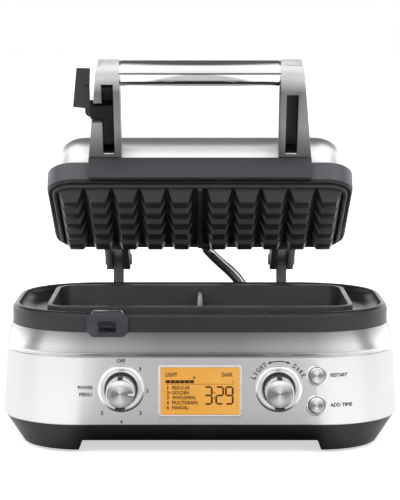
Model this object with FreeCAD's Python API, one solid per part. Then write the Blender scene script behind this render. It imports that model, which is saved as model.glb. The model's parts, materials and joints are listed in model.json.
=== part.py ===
import FreeCAD, Part
import math
import os

V = FreeCAD.Vector
ORIGIN = V(0, 0, 0)
X_AXIS = V(1, 0, 0)
Y_AXIS = V(0, 1, 0)
CUT = 1.0
OVERRUN = 0.01

# Two-slice square waffle maker. Millimetres. X to the right, Y to the back, Z up.
# The housing is centred on X = 0, Y = 0 while it is modelled, and the lid is modelled
# closed. finish_base and finish_lid open the lid and centre the whole. A plan is given as
# (half width, half depth, corner radius). CUT and OVERRUN are how far a
# cutter runs past a surface, where it is straight and where it is tapered.

# Driving dimensions: housing
PAD_TOP = 2.5
PAN_MIDDLE = 10.8
PAN_TOP = 24.0
PAN_FOOT_PLAN = (148.0, 96.0, 52.0)
PAN_TOP_PLAN = (165.3, 100.0, 69.0)
PAN_INNER_LOW = (153.8, 95.0, 58.0)
ARCH_HALF_X = 96.0
ARCH_HALF_Y = 44.0
ARCH_DRAFT = 3.5
FOOT_X = 112.0
FOOT_Y = 73.0
PAD_PLAN = (12.0, 7.0, 5.0)
PANEL_TOP = 80.0
GROOVE_TOP = 82.0
BAND_TOP = 100.0
MOAT_FLOOR = 106.0
RIM_TOP = 116.0
HALF_WIDTH_BOTTOM = 166.3
HALF_WIDTH_PANEL_TOP = 163.0
HALF_WIDTH_RIM = 158.0
HALF_DEPTH = 101.0
HALF_DEPTH_RIM = 98.0
CORNER_R = 70.0
WALL = 2.0
PAN_WALL = 2.5
BAND_PROUD = 0.6
GROOVE_DEEP = 1.2
BAND_WALL = 4.0
RIM_EDGE_R = 4.5
RIM_WIDTH = 5.2
MOAT_SLOPE = 7.8
MOAT_SLOPE_Y = 6.8
PLATE_GAP = 0.8

# Driving dimensions: waffle plates
POCKET_PITCH = 23.1
COLUMNS = 5
ROWS = 5
FIRST_COLUMN_X = 16.3
TOOTH_ROOT = 22.2
TOOTH_TIP = 12.0
LOWER_FLANGE_TOP = 117.0
LOWER_FLOOR = 88.0
LOWER_PLATE_BOTTOM = 84.5
LOWER_TOOTH_TIP = 99.5
LOWER_HALF_X = 127.5
LOWER_HALF_Y = 69.0
LOWER_R = 20.0
LIP_WIDTH = 4.0
DIVIDER_HALF = 3.0
LOWER_DIVIDER_TOP = 113.0
UPPER_LIP_BOTTOM = 117.3
UPPER_FACE = 121.0
UPPER_PLATE_TOP = 125.0
UPPER_TOOTH_TIP = 109.5
UPPER_HALF_X = 123.5
UPPER_HALF_Y = 66.0
UPPER_R = 17.0
WELL_DRAFT = 1.5
UPPER_LIP_WIDTH = 3.4
UPPER_DIVIDER_HALF = 2.2
UPPER_DIVIDER_DROP = 2.0
DIVIDER_INSET = 2.0
TOOTH_SINK = 0.3
UPPER_SINK = 0.5

# Driving dimensions: heating, hidden behind the plates
ELEMENT_PLAN = (100.0, 44.0, 24.0)
ELEMENT_R = 3.6
LOWER_ELEMENT_Z = 80.6
UPPER_ELEMENT_Z = 129.2
LOWER_SHIELD_PLAN = (118.0, 60.0, 20.0)
LOWER_SHIELD_ZS = (73.5, 83.5)
UPPER_SHIELD_PLAN = (110.0, 57.0, 20.0)
UPPER_SHIELD_ZS = (134.0, 142.0)
SHIELD_SHEET = 1.0

# Driving dimensions: lid
OPEN_DEG = 28.7
HINGE_Y = 131.4
HINGE_Z = 132.5
KNUCKLE_R = 9.5
HINGE_X = 75.5
HINGE_PIN_R = 3.0
RUNNING = 0.05
POST_HALF = 4.5
KNUCKLE_GAP = 0.3
KNUCKLE_WIDTH = 6.0
HINGE_FLANGE_HALF = 13.0
HINGE_FLANGE_LOW = 42.0
HINGE_FLANGE_HIGH = 79.0
HINGE_FLANGE_THICK = 4.0
POST_BASE_THICK = 6.0
POST_HEAD = 24.0
POST_NECK = 14.0
HINGE_FOOT_THICK = 8.0
PIN_HEAD_R = 5.0
PIN_HEAD_THICK = 1.2
PIN_HEAD_GAP = 0.3
HINGE_REACH = POST_HALF + KNUCKLE_GAP + KNUCKLE_WIDTH
SKIRT_BOTTOM = 119.7
SKIRT_TOP = 138.0
SKIRT_HALF_X = 128.2
SKIRT_HALF_Y = 71.2
SKIRT_R = 24.0
SKIRT_WALL = 3.0
COVER_TOP = 171.5
COVER_HALF_X = 122.0
COVER_HALF_Y = 62.8
COVER_R = 26.0
COVER_EDGE_R = 18.0
COVER_SHEET = 1.2
LEDGE_RISE = 4.0
LEDGE_WALL = 2.0
LEDGE_TOP_WALL = 4.0

# Driving dimensions: handle. The arms lean forward from the front of the lid.
ARM_DEG = 33.5
ARM_ROOT_Y = -77.0
ARM_ROOT_Z = 139.7
ARM_THICK = 22.4
ARM_INNER_X = 65.3
ARM_OUTER_ROOT_X = 92.2
ARM_OUTER_TOP_X = 84.6
TUBE_ALONG = 73.2
TUBE_R = 10.5
TUBE_WALL = 1.5
TUBE_SEAT = 4.0
SLOT_IN_X = 70.5
SLOT_OUT_X = 80.1
SLOT_BOTTOM = 2.0
SLOT_TOP_LEFT = 68.5
SLOT_TOP_RIGHT = 58.6
SLOT_DEPTH = 16.0
BRACKET_HALF_X = 92.6
BRACKET_BOTTOM = 121.0
BRACKET_SHELF = 2.2
BRACKET_CORNER_R = 3.0
ARM_SHOULDER = 7.0
ARM_SHOULDER_IN = 2.0
ARM_SHOULDER_DOWN = 2.2
ARM_STEM_BELOW = 30.0

# Driving dimensions: latch, measured along the arm from its root, and in depth from its front
LATCH_PIVOT_ALONG = 14.0
LATCH_PIVOT_DEPTH = 6.0
LATCH_PIN_R = 1.6
LATCH_BARREL_R = 4.5
LATCH_SIDE_GAP = 0.4
PIN_IN_ARM = 4.0
NOTCH_LOW = 32.8
NOTCH_HIGH = 51.2
NOTCH_DEPTH = 12.5
NOTCH_INTO_SLOT = 0.5
NECK_OUT_X = -94.0
NECK_IN_X = -89.8
NECK_INNER_X = -86.0
NECK_LOW = 36.0
NECK_SHOULDER = 45.5
NECK_ELBOW = 49.0
NECK_HIGH = 65.0
NECK_BEND_R = 5.0
NECK_NEAR = 4.0
NECK_FAR = 8.6
TAB_CORNERS = [(-103.9, 44.6), (-91.0, 43.0), (-88.8, 79.0), (-99.9, 79.4)]
TAB_NEAR = 5.6
TAB_FAR = 8.6

# Driving dimensions: latch socket on the rim
SOCKET_X = -75.0
SOCKET_HALF_X = 16.6
SOCKET_FRONT_Y = -101.5
SOCKET_BACK_Y = -93.6
SOCKET_BOTTOM = 97.0
SOCKET_TOP = 117.6
POCKET_HALF_X = 7.0
POCKET_BOTTOM = 100.3
POCKET_TOP = 109.3
POCKET_BACK_Y = -95.6
SOCKET_LOW_CORNER = 4.0
SOCKET_HIGH_CORNER = 5.5
SOCKET_BEVEL = 2.5
RIB_HALF = 0.8
RIB_DEEP = 1.0
RIB_DROP = 0.6

# Driving dimensions: control panel
PANEL_Y = -HALF_DEPTH
DIAL_X = 64.0
DIAL_Z = 54.1
DIAL_RING_R = 19.2
DIAL_RING_THICK = 2.0
DIAL_RING_BEVEL = 1.5
DISH_DEPTH = 1.4
DISH_FLOOR_GAP = 0.8
DISH_TOP_GAP = 2.2
DIAL_SHAFT_GAP = 0.6
DIAL_HOLE_R = 5.5
KNOB_R = 13.5
KNOB_FRONT_R = 11.2
KNOB_FRONT_Y = -125.0
KNOB_BACK_Y = -103.3
KNOB_FOOT_THICK = 5.0
KNOB_STEP = 0.9
CAP_R = 9.6
CAP_THICK = 2.0
CAP_PROUD = 0.8
SHAFT_R = 3.0
SHAFT_IN_KNOB = 12.0
SHAFT_TO_BOARD = 1.0
ENCODER_R = 7.0
ENCODER_GAP = 1.0
BUTTON_X = 94.8
BUTTON_ZS = {"restart": 65.2, "extra": 40.6}
BUTTON_R = 6.7
BUTTON_RING_R = 8.7
BUTTON_HOLE_GAP = 0.5
BUTTON_RING_GAP = 0.35
BUTTON_RING_THICK = 1.2
BUTTON_RING_BEVEL = 0.8
BUTTON_PROUD = 3.0
BUTTON_BEHIND = 2.5
STEM_R = 2.5
STEM_TO_BOARD = 4.0
SWITCH_HALF = 3.0
SWITCH_HIGH = 2.0
DISPLAY_Z = 52.2
DISPLAY_HALF_X = 32.2
DISPLAY_HALF_Z = 19.6
BEZEL_LIP = 1.7
BEZEL_THICK = 1.0
BEZEL_R = 2.5
LENS_GAP = 0.1
LENS_PROUD = 0.4
LENS_BEHIND = 1.2
MODULE_BORDER_X = 3.0
MODULE_BORDER_Z = 2.0
MODULE_BEHIND = 2.2
BOARD_LEFT_X = -84.0
BOARD_RIGHT_X = 108.0
BOARD_LOW_Z = 28.0
BOARD_HIGH_Z = 77.0
BOARD_FRONT_Y = -90.5
BOARD_THICK = 1.6

# The wiring conduit between the housing and the lid, at the back
CONDUIT_R = 5.3
CONDUIT_BEND_R = 20.0
CONDUIT_BASE_X = 46.0
CONDUIT_BASE_Z = 62.0
CONDUIT_LID_X = 6.0
CONDUIT_LID_Z = 128.5
CONDUIT_STUB = 3.0
CONDUIT_BASE_RUN = 31.0
CONDUIT_LID_RUN = 26.0
CONDUIT_KNEE_Z = 106.0
CONDUIT_CLEAR = 0.1
SKIRT_HOLE_GAP = 2.5

# The mains cord's outlet in the rear wall
CORD_X = -30.0
CORD_Z = 44.0
CORD_BORE_R = 4.0

# Collars round the conduit and the cord
GLAND_HOLE_R = 8.0
GLAND_FLANGE = 5.0
GLAND_FLANGE_THICK = 2.5
GLAND_NECK = 2.2
GLAND_LENGTH = 7.0

# Furthest front is the knobs, furthest back the hinge posts: the whole is centred in Y
SHIFT = V(0, -(HINGE_Y + KNUCKLE_R + KNOB_FRONT_Y) / 2, 0)
HINGE = V(0, HINGE_Y, HINGE_Z)


# ---- shape helpers -------------------------------------------------------------------

def plan(half_x, half_y, radius, z, centre_y=0.0):
    """A rounded rectangle as a wire at height z."""
    x0, x1 = -half_x, half_x
    y0, y1 = centre_y - half_y, centre_y + half_y
    diagonal = radius * (1 - math.sqrt(0.5))
    edges = [
        Part.makeLine(V(x0 + radius, y0, z), V(x1 - radius, y0, z)),
        Part.Arc(V(x1 - radius, y0, z), V(x1 - diagonal, y0 + diagonal, z), V(x1, y0 + radius, z)).toShape(),
        Part.makeLine(V(x1, y0 + radius, z), V(x1, y1 - radius, z)),
        Part.Arc(V(x1, y1 - radius, z), V(x1 - diagonal, y1 - diagonal, z), V(x1 - radius, y1, z)).toShape(),
        Part.makeLine(V(x1 - radius, y1, z), V(x0 + radius, y1, z)),
        Part.Arc(V(x0 + radius, y1, z), V(x0 + diagonal, y1 - diagonal, z), V(x0, y1 - radius, z)).toShape(),
        Part.makeLine(V(x0, y1 - radius, z), V(x0, y0 + radius, z)),
        Part.Arc(V(x0, y0 + radius, z), V(x0 + diagonal, y0 + diagonal, z), V(x0 + radius, y0, z)).toShape(),
    ]
    return Part.Wire(edges)


def slab(half_x, half_y, radius, z0, z1, centre_y=0.0):
    """A rounded rectangular plate from z0 to z1."""
    face = Part.Face(plan(half_x, half_y, radius, z0, centre_y))
    return face.extrude(V(0, 0, z1 - z0))


def taper(low, high):
    """A solid between two plans."""
    return Part.makeLoft([low, high], True, True)


def block(x0, x1, y0, y1, z0, z1):
    """A box between two corners."""
    return Part.makeBox(x1 - x0, y1 - y0, z1 - z0, V(x0, y0, z0))


def prism_x(points, x0, x1):
    """Extrude an outline given in Y and Z along X."""
    corners = [V(x0, y, z) for y, z in points]
    face = Part.Face(Part.makePolygon(corners + corners[:1]))
    return face.extrude(V(x1 - x0, 0, 0))


def rod_x(radius, x0, x1, y, z):
    """A round bar along X."""
    return Part.makeCylinder(radius, x1 - x0, V(x0, y, z), X_AXIS)


def rod_y(radius, y0, y1, x, z):
    """A round bar along Y."""
    return Part.makeCylinder(radius, y1 - y0, V(x, y0, z), Y_AXIS)


def finish_base(shape, node):
    """Place a part of the base in the centred frame and write it."""
    placed = shape.copy()
    placed.translate(SHIFT)
    placed.exportStep("parts/" + node + ".step")


def finish_lid(shape, node):
    """Open the lid to its rest angle, place it in the centred frame and write it."""
    opened = shape.copy()
    opened.rotate(HINGE, X_AXIS, -OPEN_DEG)
    finish_base(opened, node)


def on_arm(shape):
    """Place a shape drawn as X, distance along the arm, minus depth, on the closed lid."""
    placed = shape.copy()
    placed.rotate(ORIGIN, X_AXIS, 180 - ARM_DEG)
    placed.translate(V(0, ARM_ROOT_Y, ARM_ROOT_Z))
    return placed


def arm_plate(points, near, far):
    """Extrude an outline of X and distance along the arm from one depth to another, not yet placed."""
    corners = [V(x, along, -near) for x, along in points]
    return Part.Face(Part.makePolygon(corners + corners[:1])).extrude(V(0, 0, near - far))


def arm_prism(points, x0, x1):
    """Extrude an outline of distance along the arm and depth along X, on the closed lid."""
    return on_arm(prism_x([(along, -depth) for along, depth in points], x0, x1))


# ---- housing -------------------------------------------------------------------------

def base_pan():
    """Dark lower tray whose tapered corners reach down as four feet."""
    outer = taper(plan(*PAN_FOOT_PLAN, PAD_TOP), plan(*PAN_TOP_PLAN, PAN_TOP))
    inner_top = [size - PAN_WALL for size in PAN_TOP_PLAN]
    inner = taper(plan(*PAN_INNER_LOW, PAN_MIDDLE + PAN_WALL), plan(*inner_top, PAN_TOP + OVERRUN))
    foot_edge = ARCH_HALF_X + ARCH_DRAFT
    front = -HALF_DEPTH - CUT
    arch = [V(-foot_edge, front, PAD_TOP - CUT), V(foot_edge, front, PAD_TOP - CUT),
            V(ARCH_HALF_X, front, PAN_MIDDLE), V(-ARCH_HALF_X, front, PAN_MIDDLE)]
    front_arch = Part.Face(Part.makePolygon(arch + arch[:1])).extrude(V(0, -2 * front, 0))
    side_arch = block(-HALF_WIDTH_BOTTOM, HALF_WIDTH_BOTTOM, -ARCH_HALF_Y, ARCH_HALF_Y,
                      PAD_TOP - CUT, PAN_MIDDLE)
    return outer.cut([inner, front_arch, side_arch])


def foot_pad(x, y):
    """Rubber pad under one corner of the tray."""
    return slab(*PAD_PLAN, 0, PAD_TOP).translated(V(x, y, 0))


def housing_shell():
    """Metal wrap that carries the control panel."""
    outer = taper(plan(HALF_WIDTH_BOTTOM, HALF_DEPTH, CORNER_R, PAN_TOP),
                  plan(HALF_WIDTH_PANEL_TOP, HALF_DEPTH, CORNER_R - 1, PANEL_TOP))
    low = [size - WALL for size in (HALF_WIDTH_BOTTOM, HALF_DEPTH, CORNER_R)]
    high = [size - WALL for size in (HALF_WIDTH_PANEL_TOP, HALF_DEPTH, CORNER_R - 1)]
    inner = taper(plan(*low, PAN_TOP - OVERRUN), plan(*high, PANEL_TOP + OVERRUN))
    shell = outer.cut(inner)
    window = block(-DISPLAY_HALF_X, DISPLAY_HALF_X, PANEL_Y - 1, PANEL_Y + WALL + 1,
                   DISPLAY_Z - DISPLAY_HALF_Z, DISPLAY_Z + DISPLAY_HALF_Z)
    holes = [window]
    for side in (-1, 1):
        holes.append(rod_y(DIAL_HOLE_R, PANEL_Y - 1, PANEL_Y + WALL + 1, side * DIAL_X, DIAL_Z))
    for z in BUTTON_ZS.values():
        holes.append(rod_y(BUTTON_R + BUTTON_HOLE_GAP, PANEL_Y - 1, PANEL_Y + WALL + 1, BUTTON_X, z))
    holes.append(rod_y(GLAND_HOLE_R, HALF_DEPTH - WALL - 1, HALF_DEPTH + 1, CORD_X, CORD_Z))
    holes.append(rod_y(GLAND_HOLE_R, HALF_DEPTH - WALL - 1, HALF_DEPTH + 1, CONDUIT_BASE_X, CONDUIT_BASE_Z))
    return shell.cut(holes)


def trim_band():
    """Flared band under the rim, with a recessed shadow groove below it."""
    outer = taper(plan(HALF_WIDTH_PANEL_TOP + BAND_PROUD, HALF_DEPTH + BAND_PROUD, CORNER_R, GROOVE_TOP),
                  plan(HALF_WIDTH_RIM, HALF_DEPTH_RIM, CORNER_R - 1, BAND_TOP))
    groove = slab(HALF_WIDTH_PANEL_TOP - GROOVE_DEEP, HALF_DEPTH - GROOVE_DEEP, CORNER_R - GROOVE_DEEP,
                  PANEL_TOP, GROOVE_TOP)
    inner = slab(HALF_WIDTH_RIM - BAND_WALL, HALF_DEPTH_RIM - BAND_WALL, CORNER_R - BAND_WALL,
                 PANEL_TOP - CUT, BAND_TOP + CUT)
    return outer.fuse(groove).cut(inner).cut(socket_space()).removeSplitter()


def socket_space():
    """Room in the rim and band for the latch socket."""
    return block(SOCKET_X - SOCKET_HALF_X, SOCKET_X + SOCKET_HALF_X, SOCKET_FRONT_Y - 2, SOCKET_BACK_Y,
                 SOCKET_BOTTOM, SOCKET_TOP)


def rim_deck():
    """Rim and overflow moat that run round the waffle plate."""
    body = slab(HALF_WIDTH_RIM, HALF_DEPTH_RIM, CORNER_R, BAND_TOP, RIM_TOP)
    top_edges = [e for e in body.Edges if abs(e.BoundBox.ZMin - RIM_TOP) < 0.01]
    body = body.makeFillet(RIM_EDGE_R, top_edges)
    top = [size - RIM_WIDTH for size in (HALF_WIDTH_RIM, HALF_DEPTH_RIM, CORNER_R)]
    moat = taper(plan(top[0] - MOAT_SLOPE, top[1] - MOAT_SLOPE_Y, top[2] - MOAT_SLOPE_Y, MOAT_FLOOR),
                 plan(*top, RIM_TOP + OVERRUN))
    well = slab(LOWER_HALF_X + PLATE_GAP, LOWER_HALF_Y + PLATE_GAP, LOWER_R + PLATE_GAP,
                BAND_TOP - CUT, RIM_TOP + CUT)
    return body.cut(moat).cut(well).cut(socket_space())


def latch_socket():
    """Proud block on the front rim with the pocket that the latch hook enters."""
    x0, x1 = SOCKET_X - SOCKET_HALF_X, SOCKET_X + SOCKET_HALF_X
    low, high = SOCKET_LOW_CORNER, SOCKET_HIGH_CORNER
    outline = [V(x0 + low, SOCKET_FRONT_Y, SOCKET_BOTTOM), V(x1 - low, SOCKET_FRONT_Y, SOCKET_BOTTOM),
               V(x1, SOCKET_FRONT_Y, SOCKET_BOTTOM + low), V(x1, SOCKET_FRONT_Y, SOCKET_TOP - high),
               V(x1 - high, SOCKET_FRONT_Y, SOCKET_TOP), V(x0 + high, SOCKET_FRONT_Y, SOCKET_TOP),
               V(x0, SOCKET_FRONT_Y, SOCKET_TOP - high), V(x0, SOCKET_FRONT_Y, SOCKET_BOTTOM + low)]
    front = Part.Face(Part.makePolygon(outline + outline[:1]))
    body = front.extrude(V(0, SOCKET_BACK_Y - SOCKET_FRONT_Y, 0))
    bevel = prism_x([(SOCKET_FRONT_Y - CUT, SOCKET_TOP - SOCKET_BEVEL),
                     (SOCKET_FRONT_Y + SOCKET_BEVEL, SOCKET_TOP + CUT),
                     (SOCKET_FRONT_Y - CUT, SOCKET_TOP + CUT)], x0 - CUT, x1 + CUT)
    body = body.cut(bevel)
    pocket = block(SOCKET_X - POCKET_HALF_X, SOCKET_X + POCKET_HALF_X, SOCKET_FRONT_Y - 1, POCKET_BACK_Y,
                   POCKET_BOTTOM, POCKET_TOP)
    rib_z = (POCKET_BOTTOM + POCKET_TOP) / 2 - RIB_DROP
    rib = block(SOCKET_X - POCKET_HALF_X, SOCKET_X + POCKET_HALF_X, POCKET_BACK_Y - RIB_DEEP, POCKET_BACK_Y,
                rib_z - RIB_HALF, rib_z + RIB_HALF)
    return body.cut(pocket).fuse(rib).removeSplitter()


# ---- waffle plates -------------------------------------------------------------------

def tooth(root_z, tip_z):
    """One truncated pyramid of the waffle grid."""
    wires = []
    for size, z in ((TOOTH_ROOT, root_z), (TOOTH_TIP, tip_z)):
        h = size / 2
        corners = [V(-h, -h, z), V(h, -h, z), V(h, h, z), V(-h, h, z)]
        wires.append(Part.makePolygon(corners + corners[:1]))
    return Part.makeLoft(wires, True, True)


def tooth_grid(root_z, tip_z):
    """Five rows of five teeth in each half."""
    pattern = tooth(root_z, tip_z)
    teeth = []
    for side in (-1, 1):
        for column in range(COLUMNS):
            for row in range(ROWS):
                copy = pattern.copy()
                x = side * (FIRST_COLUMN_X + column * POCKET_PITCH)
                y = (row - (ROWS - 1) / 2) * POCKET_PITCH
                copy.translate(V(x, y, 0))
                teeth.append(copy)
    return teeth


def lower_plate():
    """Cast lower waffle plate: two wells with a raised flange and a low divider."""
    outer = slab(LOWER_HALF_X, LOWER_HALF_Y, LOWER_R, LOWER_PLATE_BOTTOM, LOWER_FLANGE_TOP)
    well_top = [size - LIP_WIDTH for size in (LOWER_HALF_X, LOWER_HALF_Y, LOWER_R)]
    well_floor = [size - WELL_DRAFT for size in well_top]
    well = taper(plan(*well_floor, LOWER_FLOOR), plan(*well_top, LOWER_FLANGE_TOP + OVERRUN))
    divider = block(-DIVIDER_HALF, DIVIDER_HALF, -LOWER_HALF_Y + DIVIDER_INSET, LOWER_HALF_Y - DIVIDER_INSET,
                    LOWER_PLATE_BOTTOM, LOWER_DIVIDER_TOP)
    teeth = tooth_grid(LOWER_FLOOR - TOOTH_SINK, LOWER_TOOTH_TIP)
    return outer.cut(well).fuse([divider] + teeth).removeSplitter()


def upper_plate():
    """Cast upper waffle plate: teeth hang from a recessed face inside a thin lip."""
    outer = slab(UPPER_HALF_X, UPPER_HALF_Y, UPPER_R, UPPER_LIP_BOTTOM, UPPER_PLATE_TOP)
    inside = [size - UPPER_LIP_WIDTH for size in (UPPER_HALF_X, UPPER_HALF_Y, UPPER_R)]
    recess = slab(*inside, UPPER_LIP_BOTTOM - CUT, UPPER_FACE)
    divider = block(-UPPER_DIVIDER_HALF, UPPER_DIVIDER_HALF,
                    -UPPER_HALF_Y + DIVIDER_INSET, UPPER_HALF_Y - DIVIDER_INSET,
                    UPPER_LIP_BOTTOM - UPPER_DIVIDER_DROP, UPPER_FACE + UPPER_SINK)
    teeth = tooth_grid(UPPER_FACE + UPPER_SINK, UPPER_TOOTH_TIP)
    return outer.cut(recess).fuse([divider] + teeth).removeSplitter()


def heating_element(z):
    """Sheathed element bent into a flat loop behind a waffle plate."""
    path = plan(*ELEMENT_PLAN, z)
    start = path.Edges[0].firstVertex().Point
    profile = Part.Wire([Part.makeCircle(ELEMENT_R, start, X_AXIS)])
    return path.makePipeShell([profile], True, False)


def heat_shield(sizes, z0, z1):
    """Folded sheet tray that keeps the heat off the outer skin."""
    outer = slab(*sizes, z0, z1)
    inner = slab(*[size - SHIELD_SHEET for size in sizes], z0 + SHIELD_SHEET, z1 + CUT)
    return outer.cut(inner)


# ---- lid -----------------------------------------------------------------------------

def lid_skirt():
    """Dark frame round the edge of the lid."""
    outer = slab(SKIRT_HALF_X, SKIRT_HALF_Y, SKIRT_R, SKIRT_BOTTOM, SKIRT_TOP)
    inner = slab(SKIRT_HALF_X - SKIRT_WALL, SKIRT_HALF_Y - SKIRT_WALL, SKIRT_R - SKIRT_WALL,
                 SKIRT_BOTTOM - 1, SKIRT_TOP + 1)
    hole = rod_y(CONDUIT_R + SKIRT_HOLE_GAP, SKIRT_HALF_Y - SKIRT_WALL - CUT, SKIRT_HALF_Y + CUT,
                 CONDUIT_LID_X, CONDUIT_LID_Z)
    return outer.cut(inner).cut(hole)


def cover_solid(inset, z0, z1):
    """Solid shape of the cover, drawn in by an inset."""
    body = slab(COVER_HALF_X - inset, COVER_HALF_Y - inset, COVER_R - inset, z0, z1)
    top_edges = [e for e in body.Edges if abs(e.BoundBox.ZMin - z1) < 0.01]
    return body.makeFillet(COVER_EDGE_R - inset, top_edges)


def lid_cover():
    """Pressed steel cover over the lid, with a flange on the skirt."""
    shell = cover_solid(0, SKIRT_TOP, COVER_TOP)
    hollow = cover_solid(COVER_SHEET, SKIRT_TOP - 1, COVER_TOP - COVER_SHEET)
    return shell.cut(hollow)


def lid_ledge():
    """Sloping collar between the skirt and the cover."""
    low = [size - SKIRT_WALL for size in (SKIRT_HALF_X, SKIRT_HALF_Y, SKIRT_R)]
    high = (COVER_HALF_X, COVER_HALF_Y, COVER_R)
    outer = taper(plan(*low, SKIRT_TOP - LEDGE_RISE), plan(*high, SKIRT_TOP))
    inner = taper(plan(*[size - LEDGE_WALL for size in low], SKIRT_TOP - LEDGE_RISE - OVERRUN),
                  plan(*[size - LEDGE_TOP_WALL for size in high], SKIRT_TOP + OVERRUN))
    return outer.cut(inner)


def handle_bracket():
    """Proud band across the front of the lid that the handle arms stand on."""
    band = block(-BRACKET_HALF_X, BRACKET_HALF_X, ARM_ROOT_Y, -SKIRT_HALF_Y, BRACKET_BOTTOM, ARM_ROOT_Z)
    shelf = block(-BRACKET_HALF_X, BRACKET_HALF_X, -SKIRT_HALF_Y, -SKIRT_HALF_Y + BRACKET_SHELF, SKIRT_TOP,
                  ARM_ROOT_Z)
    bottom_edges = [e for e in band.Edges
                    if abs(e.BoundBox.ZMax - BRACKET_BOTTOM) < 0.01 and e.BoundBox.XLength < 0.01]
    band = band.makeFillet(BRACKET_CORNER_R, bottom_edges)
    return band.fuse(shelf).removeSplitter()


def handle_arm(side, slot_top):
    """Tapered cast arm with an open channel in its front face."""
    length = TUBE_ALONG + ARM_THICK / 2
    half = ARM_THICK / 2
    x_in, x_root, x_top = side * ARM_INNER_X, side * ARM_OUTER_ROOT_X, side * ARM_OUTER_TOP_X
    corners = [V(x_in, -ARM_STEM_BELOW, 0), V(x_root, -ARM_STEM_BELOW, 0), V(x_root, 0, 0),
               V(x_top, length - ARM_SHOULDER, 0),
               V(x_top - side * ARM_SHOULDER_IN, length - ARM_SHOULDER_DOWN, 0),
               V(x_top - side * ARM_SHOULDER, length, 0), V(x_in, length, 0)]
    front = Part.Face(Part.makePolygon(corners + corners[:1]))
    body = front.extrude(V(0, 0, -ARM_THICK))
    low, high = sorted((side * (ARM_INNER_X - 1), side * (ARM_OUTER_ROOT_X + 1)))
    head = rod_x(half, low, high, TUBE_ALONG, -half)
    stem = block(low, high, -ARM_STEM_BELOW, TUBE_ALONG, -ARM_THICK, 0)
    arm = on_arm(body.common(head.fuse(stem)))
    keep = prism_x([(ARM_ROOT_Y - 90, ARM_ROOT_Z), (-SKIRT_HALF_Y + 1.7, ARM_ROOT_Z),
                    (-SKIRT_HALF_Y + 8.0, 160.0), (-SKIRT_HALF_Y + 8.0, 260.0),
                    (ARM_ROOT_Y - 90, 260.0)], low, high)
    arm = arm.common(keep)
    s0, s1 = sorted((side * SLOT_IN_X, side * SLOT_OUT_X))
    channel = arm_prism([(SLOT_BOTTOM, -1), (slot_top, -1), (slot_top, SLOT_DEPTH),
                         (SLOT_BOTTOM + 2, SLOT_DEPTH)], s0, s1)
    t0, t1 = sorted((side * (ARM_INNER_X - 1), side * (ARM_INNER_X + TUBE_SEAT)))
    seat = on_arm(rod_x(TUBE_R, t0, t1, TUBE_ALONG, -half))
    return arm.cut([channel, seat])


def latch_arm():
    """Left arm, with a notch for the latch lever and holes for its pin."""
    arm = handle_arm(-1, SLOT_TOP_LEFT)
    low, high, deep = NOTCH_LOW, NOTCH_HIGH, NOTCH_DEPTH
    notch = arm_prism([(low, -CUT), (high, -CUT), (high, deep), (low, deep)],
                      -ARM_OUTER_ROOT_X - CUT, -SLOT_OUT_X + NOTCH_INTO_SLOT)
    return arm.cut([notch, latch_pin()])


def handle_tube():
    """Polished grip tube seated in both arms."""
    end = ARM_INNER_X + TUBE_SEAT
    outer = rod_x(TUBE_R, -end, end, TUBE_ALONG, -ARM_THICK / 2)
    inner = rod_x(TUBE_R - TUBE_WALL, -end, end, TUBE_ALONG, -ARM_THICK / 2)
    return on_arm(outer.cut(inner))


def latch_lever():
    """Swing hook stowed in the left arm, with a thumb tab outside it."""
    x0, x1 = -SLOT_OUT_X + LATCH_SIDE_GAP, -SLOT_IN_X - LATCH_SIDE_GAP
    barrel = on_arm(rod_x(LATCH_BARREL_R, x0, x1, LATCH_PIVOT_ALONG, -LATCH_PIVOT_DEPTH))
    body = arm_prism([(14, 10.5), (14, 2), (19, 1), (45.5, 1), (47.5, 3), (48.5, 9.5), (61, 9.5), (61, 1),
                      (65, 1), (66.8, 4), (66.8, 13.5), (46, 13.5), (42, 10.5)], x0, x1)
    bridge = arm_prism([(36, 1), (45.5, 1), (47.5, 3), (48.5, 10.5), (36, 10.5)], NECK_IN_X, x0)
    tab = arm_plate(TAB_CORNERS, TAB_NEAR, TAB_FAR)
    bore = on_arm(rod_x(LATCH_PIN_R + RUNNING, x0 - 1, x1 + 1, LATCH_PIVOT_ALONG, -LATCH_PIVOT_DEPTH))
    return barrel.fuse([body, bridge, on_arm(latch_neck()), on_arm(tab)]).cut(bore).removeSplitter()


def latch_neck():
    """Curved strap that turns up from the bridge of the latch, in front of its thumb tab."""
    diagonal = NECK_BEND_R * (1 - math.sqrt(0.5))
    bend = [V(NECK_OUT_X, NECK_LOW + NECK_BEND_R, 0), V(NECK_OUT_X + diagonal, NECK_LOW + diagonal, 0),
            V(NECK_OUT_X + NECK_BEND_R, NECK_LOW, 0)]
    half = (NECK_IN_X - NECK_OUT_X) / 2
    tip = [V(NECK_IN_X, NECK_HIGH - half, 0), V(NECK_IN_X - half, NECK_HIGH, 0),
           V(NECK_OUT_X, NECK_HIGH - half, 0)]
    inside = [V(NECK_INNER_X, NECK_LOW, 0), V(NECK_INNER_X, NECK_SHOULDER, 0), V(NECK_IN_X, NECK_ELBOW, 0)]
    edges = [Part.Arc(*bend).toShape(), Part.Arc(*tip).toShape(),
             Part.LineSegment(tip[2], bend[0]).toShape()]
    corners = [bend[2], *inside, tip[0]]
    edges += [Part.LineSegment(a, b).toShape() for a, b in zip(corners, corners[1:])]
    face = Part.Face(Part.Wire(Part.__sortEdges__(edges)))
    face.translate(V(0, 0, -NECK_NEAR))
    return face.extrude(V(0, 0, NECK_NEAR - NECK_FAR))


def latch_pin():
    """Pin that the latch lever turns on."""
    return on_arm(rod_x(LATCH_PIN_R, -SLOT_OUT_X - PIN_IN_ARM, -SLOT_IN_X + PIN_IN_ARM,
                        LATCH_PIVOT_ALONG, -LATCH_PIVOT_DEPTH))


# ---- hinges --------------------------------------------------------------------------

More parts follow.
